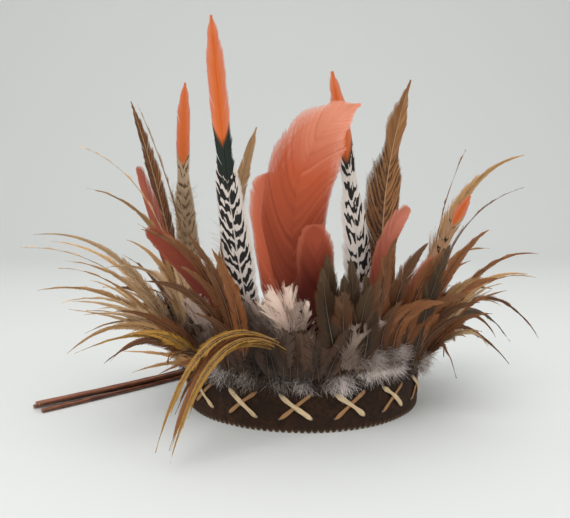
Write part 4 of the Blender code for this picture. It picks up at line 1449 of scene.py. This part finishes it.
@dataclass
class DownTrim:
    """Arcs of short body feathers that stand over the band's top, and of down that hangs over its face."""

    ring: Ring
    arcs: int = 6
    reach: float = 126.0
    per_arc: int = 24
    feather_length: float = 0.0380
    feather_radius: float = 0.0922
    feather_foot: float = 0.0400
    row_gap: float = 0.0066
    half_width: float = 0.0078
    tuft_radius: float = 0.0930
    dark_tufts: int = 13
    pale_tufts: int = 4
    open_feathers: int = 6
    open_radius: float = 0.0965
    open_foot: float = 0.0140
    open_half_width: float = 0.0060
    samples: int = 40
    down_strands: int = 60
    down_reach: float = 0.009
    down_until: float = 0.40
    feather_map: tuple[float, float] = (0.02, 0.60)
    tuft_map: tuple[float, float] = (0.64, 0.35)
    seed: int = 300

    def build(self) -> None:
        """Builds every arc as its own piece."""
        # pale is the colour of the painted glints on these feathers
        finish = HackleFinish(fluff=(0.060, 0.044, 0.034), pale=(0.220, 0.165, 0.125), stripe_reach=0.34,
                              gloss=0.64).dress("down_finish")
        span = 2.0 * self.reach / self.arcs
        for arc in range(self.arcs):
            plumage = Plumage(self.seed + arc)
            first = -self.reach + arc * span
            for index in range(self.per_arc):
                place = first + span * (index + plumage.rng.uniform(0.2, 0.8)) / self.per_arc
                self.feather(plumage, place, index)
            for index, place in enumerate(place for place in COVER_PLACES if first <= place < first + span):
                self.feather(plumage, place, index, COVER_FORWARD, COVER_SIZE)
            tufts = self.tufts(first, span, plumage.rng)
            for index, tuft in enumerate(tufts):
                shade = tuft.dye()
                low, reach = self.tuft_map
                tile = Tile(low + reach * index / len(tufts), low + reach * (index + 0.9) / len(tufts),
                            float(index), toned(shade, 0.75), shade)
                self.hang(plumage, tuft, tile)
            plumage.make(f"down_trim_{arc + 1}", finish, (f"trim_{arc + 1}",))

    def feather(self, plumage: Plumage, place: float, index: int, forward: float = 0.0,
                size: float = 1.0) -> None:
        """Adds one short body feather.

        Args:
            plumage: Where it goes.
            place: Its place on the ring.
            index: Its number in the arc, where each second one stands in the front row.
            forward: How far it stands in front of its row.
            size: A factor for its length.
        """
        rng = plumage.rng
        front = 1 if forward else index % 2
        radius = self.feather_radius + self.row_gap * front + forward
        start = self.ring.point(place, radius, self.feather_foot)
        shares = (0.55, 0.85) if front and not forward else (0.90, 1.18)
        length = size * self.feather_length * rng.uniform(*shares)
        outward, sideways = self.ring.axes(place)
        lean = rng.uniform(0.05, 0.20) + 0.12 * front
        aside = rng.normal(scale=0.22)
        bend = length * (UP * 0.6 + outward * 0.1 + sideways * aside * 0.3)
        tip = length * (UP + outward * lean + sideways * aside)
        blade = Blade(start, bend, tip, sideways, rng.uniform(-25.0, 25.0), 0.3, self.samples)
        tone = rng.uniform(0.55, 1.35) * (0.8 if front else 1.0)
        warm = rng.uniform(0.0, 1.0)
        stripe = toned((0.020, 0.013 - 0.003 * warm, 0.010 - 0.004 * warm), tone)
        edge = toned((0.074 + 0.035 * warm, 0.050, 0.038 - 0.012 * warm), tone)
        low, reach = self.feather_map
        tile = Tile(low + reach * index / self.per_arc, low + reach * (index + 0.95) / self.per_arc,
                    float(index), stripe, edge)
        vane = Vane(blade, Outline.BODY, self.half_width * rng.uniform(0.8, 1.2), BODY_WEAVE)
        vane.comb(plumage, tile)
        vane.stem(plumage, tile)
        vane.fluff(plumage, tile, self.down_strands, self.down_reach, self.down_until)

    def tufts(self, first: float, span: float, rng: np.random.Generator) -> list[Tuft]:
        """Lists an arc's tufts.

        Args:
            first: The place where the arc starts.
            span: How many degrees it takes.
            rng: The source of chance.

        Returns:
            The photo's own tufts, dark ones all along, and pale ones where the photo shows none.
        """
        found = [tuft for tuft in FRONT_TUFTS if first <= tuft.place < first + span]
        for index in range(self.dark_tufts):
            place = first + span * (index + rng.uniform(0.0, 1.0)) / self.dark_tufts
            found.append(Tuft(place, 0.0375 + rng.normal(scale=0.0012), rng.uniform(-1.2, -0.2),
                              rng.uniform(0.0040, 0.0095), rng.uniform(0.030, 0.130), 150))
        if len(found) == self.dark_tufts:
            for _ in range(self.pale_tufts):
                found.append(Tuft(first + span * rng.uniform(0.05, 0.95), 0.0400 + rng.normal(scale=0.0025),
                                  rng.uniform(-1.0, 0.6), rng.uniform(0.0080, 0.0130),
                                  rng.uniform(0.40, 0.90), 420))
        return found

    def hang(self, plumage: Plumage, tuft: Tuft, tile: Tile) -> None:
        """Adds a tuft's strands, and the open feathers of one that rises.

        Args:
            plumage: Where they go.
            tuft: The tuft.
            tile: Its tile of the bake's map.
        """
        rng, count = plumage.rng, tuft.strands
        place = tuft.place + rng.normal(scale=1.9, size=count)
        height = tuft.height + rng.normal(scale=0.0060 if tuft.rising else 0.0026, size=count)
        radius = self.tuft_radius + tuft.forward + rng.uniform(0.0, 0.0045, count)
        roots = self.ring.point(place, radius, height)
        outward, sideways = self.ring.axes(place)
        climb = (tuft.climb + rng.normal(scale=0.35, size=(count, 1))) * UP
        spread = rng.normal(loc=tuft.slant, scale=0.55, size=(count, 1))
        headings = climb + outward * rng.uniform(0.05, 0.7, (count, 1)) + sideways * spread
        lengths = tuft.reach * rng.uniform(0.25, 1.0, count) * (0.6 if tuft.rising else 1.0)
        Down(width=0.00030).grow(plumage, roots, headings, lengths, tile)
        for turn in range(self.open_feathers if tuft.rising else 0):
            self.downy(plumage, tuft, turn / (self.open_feathers - 1.0) - 0.5, tile)

    def downy(self, plumage: Plumage, tuft: Tuft, fan: float, tile: Tile) -> None:
        """Adds one soft, open feather to a tuft.

        Args:
            plumage: Where it goes.
            tuft: The tuft.
            fan: How far it leans to the side, -0.5 to 0.5.
            tile: The tuft's tile of the bake's map.
        """
        rng = plumage.rng
        outward, sideways = self.ring.axes(tuft.place)
        start = self.ring.point(tuft.place + 2.4 * fan, self.open_radius + 0.7 * tuft.forward,
                                tuft.height - self.open_foot)
        length = self.open_foot + tuft.reach * rng.uniform(0.62, 1.0)
        aside = sideways * (0.8 * tuft.slant + 0.42 * fan + rng.normal(scale=0.08))
        tip = length * (UP + outward * (rng.uniform(0.10, 0.40) + 12.0 * tuft.forward) + aside)
        blade = Blade(start, length * (UP * 0.6 + aside * 0.2), tip, sideways, rng.uniform(-40.0, 40.0), 0.3,
                      self.samples)
        soft = replace(tile, stripe_dye=tile.edge_dye)
        half = self.open_half_width * rng.uniform(0.75, 1.15)
        Vane(blade, Outline.BODY, half, OPEN_WEAVE).comb(plumage, soft)


@dataclass
class LeatherBand:
    """The suede band, with its pinked lower edge."""

    ring: Ring
    tooth_pitch: float = 0.00435
    tooth_depth: float = 0.0016
    tooth_tip: float = 0.0014
    columns_per_tooth: int = 6
    levels: tuple[float, ...] = (0.0, 0.008, 0.02, 0.04, 0.07, 0.11, 0.17, 0.25, 0.34, 0.43, 0.52, 0.61, 0.70,
                                 0.79, 0.87, 0.93, 0.97, 0.99, 1.0)
    edge_fade: float = 0.012
    rounding: float = 0.30
    wave: float = 0.00022
    depth_stretch: float = 40.0

    def build(self) -> None:
        """Builds the band."""
        teeth = round(2.0 * math.pi * RING_RADIUS / self.tooth_pitch)
        columns = teeth * self.columns_per_tooth
        phase = np.arange(columns) / self.columns_per_tooth % 1.0
        place = 360.0 * np.arange(columns) / columns
        tip_half = 0.5 * self.tooth_tip / self.tooth_pitch
        notch = np.clip((np.abs(phase - 0.5) - tip_half) / (0.5 - tip_half), 0.0, 1.0)
        bottom = self.tooth_depth * notch
        levels = np.array(self.levels)
        rounded = BAND_WALL * self.rounding * (np.exp(-levels / self.edge_fade)
                                               + np.exp(-(1.0 - levels) / self.edge_fade))
        depth = np.hstack((-rounded, (-BAND_WALL + rounded)[::-1], -rounded[:1]))
        level = np.hstack((levels, levels[::-1], levels[:1]))
        angle = np.radians(place)
        ripple = self.wave * (np.sin(5.0 * angle[None] + 6.0 * level[:, None]) + 0.6 * np.sin(
            13.0 * angle[None] - 9.0 * level[:, None])) - self.wave
        radius = RING_RADIUS + depth[:, None] + ripple
        height = bottom[None] + (BAND_HEIGHT - bottom[None]) * level[:, None]
        grid = self.ring.point(np.broadcast_to(place, radius.shape), radius, height)
        round_cm = RING_RADIUS / CENTIMETRE
        facts = packed(round_cm * np.sin(angle)[None], height / CENTIMETRE,
                       round_cm * np.cos(angle)[None] + depth[:, None] * self.depth_stretch)
        # The share of the raw edge, which is partly painted light
        raw = np.exp(-level / self.edge_fade)[:, None] * np.ones((1, columns))
        spread = packed(np.arange(columns)[None] / columns, np.linspace(0.0, 1.0, len(level))[:, None])
        plumage = Plumage()
        plumage.add(grid[None], spread[None], Tile(), facts[None], packed(raw, 0.0, 0.0)[None], np.zeros(3),
                    closed=True)
        plumage.make("suede_band", SuedeFinish().dress("suede_finish"), ("band",))


@dataclass
class CrossStitches:
    """Crosses of two flat rawhide straps, pulled through holes in the band."""

    ring: Ring
    count: int = 15
    first_place: float = -4.3
    width: float = 0.0225
    height: float = 0.0180
    centre_height: float = 0.0185
    strap_width: float = 0.0040
    strap_thickness: float = 0.0011
    overhang: float = 0.03
    rows: int = 26
    rest: float = 0.42
    hump: float = 0.95
    sink: float = 0.0016
    sink_from: float = 0.44
    sink_run: float = 0.09
    end_from: float = 0.34
    end_run: float = 0.18
    wobble: float = 0.0004
    waist_length: float = 0.16
    hole_radius: float = 0.0015
    hole_middle: float = 0.0001
    hole_proud: float = 0.00012
    bar: Sweep = Sweep(12, 0.55)
    seed: int = 400

    def build(self) -> None:
        """Builds every cross as its own piece."""
        finish = RawhideFinish().dress("rawhide_finish")
        for index in range(self.count):
            plumage = Plumage(self.seed + index)
            place = self.first_place + 360.0 * index / self.count
            for slope in (1.0, -1.0):
                self.strap(plumage, place, slope, index)
            name = f"{index + 1:02d}"
            plumage.make(f"rawhide_cross_{name}", finish, (f"cross_stitch_{name}",))

    def strap(self, plumage: Plumage, place: float, slope: float, index: int) -> None:
        """Adds one strap, with the holes at its ends.

        Args:
            plumage: Where it goes.
            place: The cross's place on the ring.
            slope: 1 for the lower strap, -1 for the one that passes over it.
            index: The cross's number.
        """
        rng = plumage.rng
        share = np.linspace(-0.5 - self.overhang, 0.5 + self.overhang, self.rows)
        above = slope < 0.0
        sink = self.sink * ease((np.abs(share) - self.sink_from) / self.sink_run)
        crest = self.hump * self.strap_thickness if above else 0.0
        hump = crest * np.cos(math.pi * np.clip(share, -0.5, 0.5)) ** 2
        radius = RING_RADIUS + CLEARANCE + self.strap_thickness * self.rest + hump - sink
        places = place + np.degrees((share * self.width) / RING_RADIUS)
        heights = self.centre_height + slope * share * self.height + self.wobble * np.sin(5.0 * share + index)
        centres = self.ring.point(places, radius, heights)
        outward = self.ring.axes(places)[0]
        across = unit(np.cross(outward, unit(np.gradient(centres, axis=0))))
        pinch = rng.uniform(0.0, 0.45) if above else rng.uniform(0.1, 0.4)
        waist = rng.uniform(-0.15, 0.2)
        turn = rng.uniform(-0.25, 0.25) * np.sin(math.pi * share)[:, None]
        tilted = across * np.cos(turn) + outward * np.sin(turn)
        raised = outward * np.cos(turn) - across * np.sin(turn)
        end = ease((np.abs(share) - self.end_from) / self.end_run)
        slim = rng.uniform(0.80, 1.0) if above else rng.uniform(0.62, 0.80)
        waisted = pinch * np.exp(-((share - waist) / self.waist_length) ** 2)
        rough_edge = 0.06 * np.sin(17.0 * share + index)
        wide = 0.5 * slim * self.strap_width * (0.98 - waisted - 0.55 * end + rough_edge)
        thick = 0.5 * self.strap_thickness * (0.85 + 0.25 * waisted)
        along_cm = share[:, None] * math.hypot(self.width, self.height) / CENTIMETRE
        across_cm = np.cos(self.bar.turns())[None] * self.strap_width / 2.0 / CENTIMETRE
        lots = packed(along_cm, across_cm, index * 2.0 + above)[None]
        shares = packed(end[:, None], 0.0 if above else 1.0, 0.0 * across_cm)[None]
        tile = Tile(0.0, 0.38) if above else Tile(0.4, 0.78)
        self.bar.lay(plumage, centres, tilted, raised, wide, thick, tile, lots, shares, np.zeros(3))
        # Discs of painted shade in the holes at both ends
        for end_share in (-0.5, 0.5):
            self.hole_shade(plumage, place + math.degrees(end_share * self.width / RING_RADIUS),
                      self.centre_height + slope * end_share * self.height)

    def hole_shade(self, plumage: Plumage, place: float, height: float) -> None:
        """Adds a disc of painted shade, just proud of the band, as the dark mouth of one of the punched
        holes.

        Args:
            plumage: Where it goes.
            place: Its place on the ring.
            height: Its height.
        """
        turns = np.radians(np.arange(0.0, 360.0, 36.0))
        reach = np.array((self.hole_middle, self.hole_radius))[:, None]
        places = place + np.degrees(reach * np.cos(turns)[None] / RING_RADIUS)
        heights = height + reach * np.sin(turns)[None]
        grid = self.ring.point(places, np.full(places.shape, RING_RADIUS + self.hole_proud), heights)
        size = 0.05 * reach / self.hole_radius
        spread = packed(0.9 + size * np.cos(turns)[None], 0.9 + size * np.sin(turns)[None])
        plumage.add(grid[None], spread[None], Tile(), np.zeros(3), np.zeros(3), np.array((0.5, 0.0, 1.0)),
                    closed=True)


class Lace(NamedTuple):
    """A lace's places in the bundle, (across, up) from the route, where it starts and where it ends."""

    name: str
    start: tuple[float, float]
    end: tuple[float, float]


# The route of the bundle of laces, as on the solids, in metres about the ring's centre
LACE_ROUTE = (
    (-0.0066, 0.0962, 0.0380), (-0.0160, 0.0962, 0.0380), (-0.0310, 0.0958, 0.0300),
    (-0.0480, 0.0915, 0.0180), (-0.0680, 0.0810, 0.0095), (-0.0900, 0.0640, 0.0052),
    (-0.1120, 0.0410, 0.0039), (-0.1370, 0.0150, 0.0039), (-0.1660, -0.0130, 0.0039),
    (-0.1960, -0.0410, 0.0039),
)

LACES = (
    Lace("lace_1", (0.00195, 0.00195), (0.0022, 0.0012)),
    Lace("lace_2", (-0.00195, 0.00195), (-0.0024, 0.0019)),
    Lace("lace_3", (0.00195, -0.00195), (0.0068, -0.0020)),
    Lace("lace_4", (-0.00195, -0.00195), (-0.0072, -0.0020)),
)


@dataclass
class TieLaces:
    """The loose leather laces, side by side from the knot to their cut tips."""

    ring: Ring
    diameter: float = 0.0034
    route_pieces: int = 24
    rows: int = 110
    thin: float = 0.78
    tip_size: float = 0.03
    roll: float = 0.35
    roll_pace: float = 30.0
    uneven: tuple[float, float] = (0.03, 0.05)
    uneven_pace: tuple[float, float] = (160.0, 210.0)
    bar: Sweep = Sweep(12, 0.8)

    def route(self) -> Array:
        """Draws the smooth curve through the route.

        Returns:
            Evenly spaced points on it.
        """
        knots = self.ring.set_down(LACE_ROUTE)
        knots = np.vstack((2.0 * knots[0] - knots[1], knots, 2.0 * knots[-1] - knots[-2]))
        part = (np.arange(self.route_pieces) / self.route_pieces)[:, None]
        runs = []
        for before, start, end, after in zip(knots, knots[1:], knots[2:], knots[3:]):
            runs.append(0.5 * (2.0 * start + (end - before) * part
                               + (2.0 * before - 5.0 * start + 4.0 * end - after) * part ** 2
                               + (3.0 * start - before - 3.0 * end + after) * part ** 3))
        fine = np.vstack((*runs, knots[-2]))
        reach = travelled(fine)
        even = np.linspace(0.0, reach[-1], self.rows)
        return np.stack([np.interp(even, reach, fine[:, axis]) for axis in range(3)], axis=-1)

    def build(self) -> None:
        """Builds every lace as its own piece."""
        finish = LaceFinish().dress("lace_finish")
        route = self.route()
        share = np.linspace(0.0, 1.0, self.rows) ** 2
        headings = unit(np.gradient(route, axis=0))
        across = unit(np.cross(headings, UP))
        up = np.cross(across, headings)
        for number, lace in enumerate(LACES):
            aside, above = (start + (end - start) * share for start, end in zip(lace.start, lace.end))
            centres = route + across * aside[:, None] + up * above[:, None]
            self.lace(lace.name, centres, across, up, number, finish)

    def lace(self, name: str, centres: Array, across: Array, up: Array, number: int,
             finish: bpy.types.Material) -> None:
        """Args:
            name: The solid that it replaces.
            centres: Its middle line.
            across: The directions of its width.
            up: The directions of its thickness.
            number: Its number, which its grain follows.
            finish: Its material.
        """
        reach = travelled(centres)
        roll = (self.roll * np.sin(reach * self.roll_pace + number * 2.0))[:, None]
        ways = (across * np.cos(roll) + up * np.sin(roll), up * np.cos(roll) - across * np.sin(roll))
        half = 0.5 * self.diameter
        swell = self.uneven[0] * np.sin(reach * self.uneven_pace[0] + number)
        dents = self.uneven[1] * np.sin(reach * self.uneven_pace[1] + 3.0 * number)
        sizes = (half * (1.0 + swell), half * self.thin * (1.0 + dents))
        line = np.vstack((centres, centres[-1:]))
        wide_way, thick_way = (np.vstack((way, way[-1:])) for way in ways)
        wide, thick = (np.hstack((size, self.tip_size * half)) for size in sizes)
        reach = np.hstack((reach, reach[-1]))
        turns = self.bar.turns()
        across_cm = np.cos(turns)[None] * half / CENTIMETRE
        place = packed(reach[:, None] / CENTIMETRE, across_cm, number * 3.0)[None]
        end = np.zeros((len(line), 1))
        end[-1] = 1.0
        share = packed(end, np.abs(np.cos(turns))[None] ** 4, 0.0)[None]
        plumage = Plumage()
        self.bar.lay(plumage, line, wide_way, thick_way, wide, thick, Tile(), place, share, np.zeros(3))
        piece = plumage.make(f"tie_{name}", finish, (name,))


@dataclass
class LaceKnot:
    """The knot at the back of the band: three turns of lace round a core."""

    ring: Ring
    length: float = 0.0126
    radius: float = 0.0058
    height: float = 0.0380
    turns: int = 3
    half_thick: float = 0.0013
    slant: float = 0.0005
    hoop_rows: int = 40
    hoop_bar: Sweep = Sweep(10, 0.8)
    core_bar: Sweep = Sweep(12)
    core_reach: float = 0.49
    core_size: float = 0.8
    core_shares: tuple[float, ...] = (0.03, 0.75, 0.82, 0.82, 0.82, 0.82, 0.75, 0.03)

    def build(self) -> None:
        """Builds the knot."""
        centre = self.ring.point(180.0, RING_RADIUS + CLEARANCE + self.radius, self.height)
        plumage = Plumage()
        for turn in range(self.turns):
            self.hoop(plumage, centre, turn)
        rows = len(self.core_shares)
        along = np.linspace(-self.core_reach, self.core_reach, rows)
        line = centre + np.outer(along * self.length, np.array((1.0, 0.0, 0.0)))
        size = np.array(self.core_shares) * self.radius * self.core_size
        across = np.tile((0.0, 1.0, 0.0), (rows, 1))
        over = np.linspace(0.0, 1.0, self.core_bar.sides)[None]
        grain = packed(along[:, None] * self.length / CENTIMETRE, over, 9.0)[None]
        self.core_bar.lay(plumage, line, across, np.tile(UP, (rows, 1)), size, size, Tile(0.8, 1.0), grain,
                          np.array((0.3, 0.0, 0.0)), np.zeros(3))
        plumage.make("tie_lace_knot", LaceFinish().dress("knot_finish"), ("lace_knot",))

    def hoop(self, plumage: Plumage, centre: Array, turn: int) -> None:
        """Adds one turn of lace, a little askew, about the knot's axis.

        Args:
            plumage: Where it goes.
            centre: The knot's centre.
            turn: The turn's number.
        """
        pitch = self.length / self.turns
        shift = (turn - (self.turns - 1) / 2.0) * pitch
        angle = np.linspace(0.0, 2.0 * math.pi, self.hoop_rows)
        spoke = np.stack((0.0 * angle, np.cos(angle), np.sin(angle)), axis=-1)
        axle = np.tile((1.0, 0.0, 0.0), (self.hoop_rows, 1))
        slant = self.slant * np.sin(angle + turn)
        line = centre + spoke * (self.radius - self.half_thick) + axle * (shift + slant)[:, None]
        wide = np.full(self.hoop_rows, pitch * 0.50)
        thick = np.full(self.hoop_rows, self.half_thick)
        turns = self.hoop_bar.turns()
        along_cm = angle[:, None] * self.radius / CENTIMETRE
        place = packed(along_cm, np.cos(turns)[None] * 0.2, 20.0 + turn)[None]
        # The mask of the darker sides, partly painted shade
        shaded_flank = np.abs(np.cos(turns))[None] ** 4 * np.ones((self.hoop_rows, 1))
        share = packed(0.0, shaded_flank, 0.0)[None]
        tile = Tile(0.26 * turn, 0.26 * turn + 0.24)
        self.hoop_bar.lay(plumage, line, axle, spoke, wide, thick, tile, place, share, np.zeros(3))


class Light(NamedTuple):
    """A soft square light that faces the headdress."""

    name: str
    place: Shares
    size: float
    power: float


LIGHTS = (
    Light("key_light", (-0.75, -1.25, 1.45), 1.3, 21.0),
    Light("fill_light", (1.35, -0.90, 0.85), 1.4, 8.0),
    Light("top_light", (0.10, 0.35, 1.60), 1.2, 6.0),
)


@dataclass
class Studio:
    """The pale floor that curves up behind, the soft lights and the camera."""

    ring: Ring
    paper: Colour = (0.715, 0.735, 0.725)
    half_width: float = 2.6
    depth_front: float = -1.8
    depth_back: float = 1.1
    curve: float = 0.9
    height: float = 2.6
    air: Colour = (1.0, 0.99, 0.97)
    air_strength: float = 0.58
    aim_height: float = 0.1
    lens: float = 44.21
    camera_offset: Shares = (-0.0136, -0.5440, 0.1632)
    pitch: float = 5.735

    def build(self) -> None:
        """Builds the floor, the lights and the camera."""
        self.floor()
        for light in LIGHTS:
            self.light(light)
        world = bpy.data.worlds.new("studio_air")
        world.use_nodes = True
        sockets = world.node_tree.nodes["Background"].inputs
        sockets["Color"].default_value = (*self.air, 1.0)
        sockets["Strength"].default_value = self.air_strength
        bpy.context.scene.world = world
        self.camera()

    def floor(self) -> None:
        """Builds the floor as one swept sheet."""
        turns = np.radians(np.linspace(0.0, 90.0, 16))
        depth = np.hstack((self.depth_front, self.depth_back + self.curve * np.sin(turns)))
        level = np.hstack((0.0, self.curve * (1.0 - np.cos(turns)), self.height))
        depth = np.hstack((depth, depth[-1]))
        points = [(side, y, z) for y, z in zip(depth.tolist(), level.tolist())
                  for side in (-self.half_width, self.half_width)]
        faces = [(2 * row, 2 * row + 1, 2 * row + 3, 2 * row + 2) for row in range(len(depth) - 1)]
        mesh = bpy.data.meshes.new("studio_floor")
        mesh.from_pydata(points, [], faces)
        mesh.shade_smooth()
        paper = {"Base Color": (*self.paper, 1.0), "Roughness": 0.9, "Specular IOR Level": 0.2}
        mesh.materials.append(Surface("studio_paper").wear(paper))
        stand("studio_floor", mesh)

    def light(self, light: Light) -> None:
        """Hangs one light.

        Args:
            light: Its name, place, size and power.
        """
        lamp = bpy.data.lights.new(light.name, "AREA")
        lamp.size = light.size
        lamp.energy = light.power
        item = stand(light.name, lamp)
        item.location = light.place
        aim = -item.location
        aim.z += self.aim_height
        item.rotation_euler = aim.to_track_quat("-Z", "Y").to_euler()

    def camera(self) -> None:
        """Stands the camera where the photograph was taken."""
        data = bpy.data.cameras.new("camera")
        data.lens = self.lens
        camera = stand("camera", data)
        camera.location = self.ring.set_down((self.camera_offset,))[0].tolist()
        camera.rotation_euler = (math.radians(90.0 - self.pitch), 0.0, 0.0)
        bpy.context.scene.camera = camera


def main() -> None:
    """Builds the headdress in its studio."""
    logging.basicConfig(level=logging.INFO, format="%(name)s: %(message)s")
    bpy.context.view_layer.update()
    ring = Ring.from_frame()
    bpy.context.scene.view_settings.view_transform = "Standard"
    for part in (Studio(ring), TieLaces(ring), LaceKnot(ring), LeatherBand(ring), CrossStitches(ring),
                 TailFeathers(ring), HackleSprays(ring), DownTrim(ring)):
        part.build()
        LOG.info("%s done", type(part).__name__)


if __name__ == "__main__":
    main()
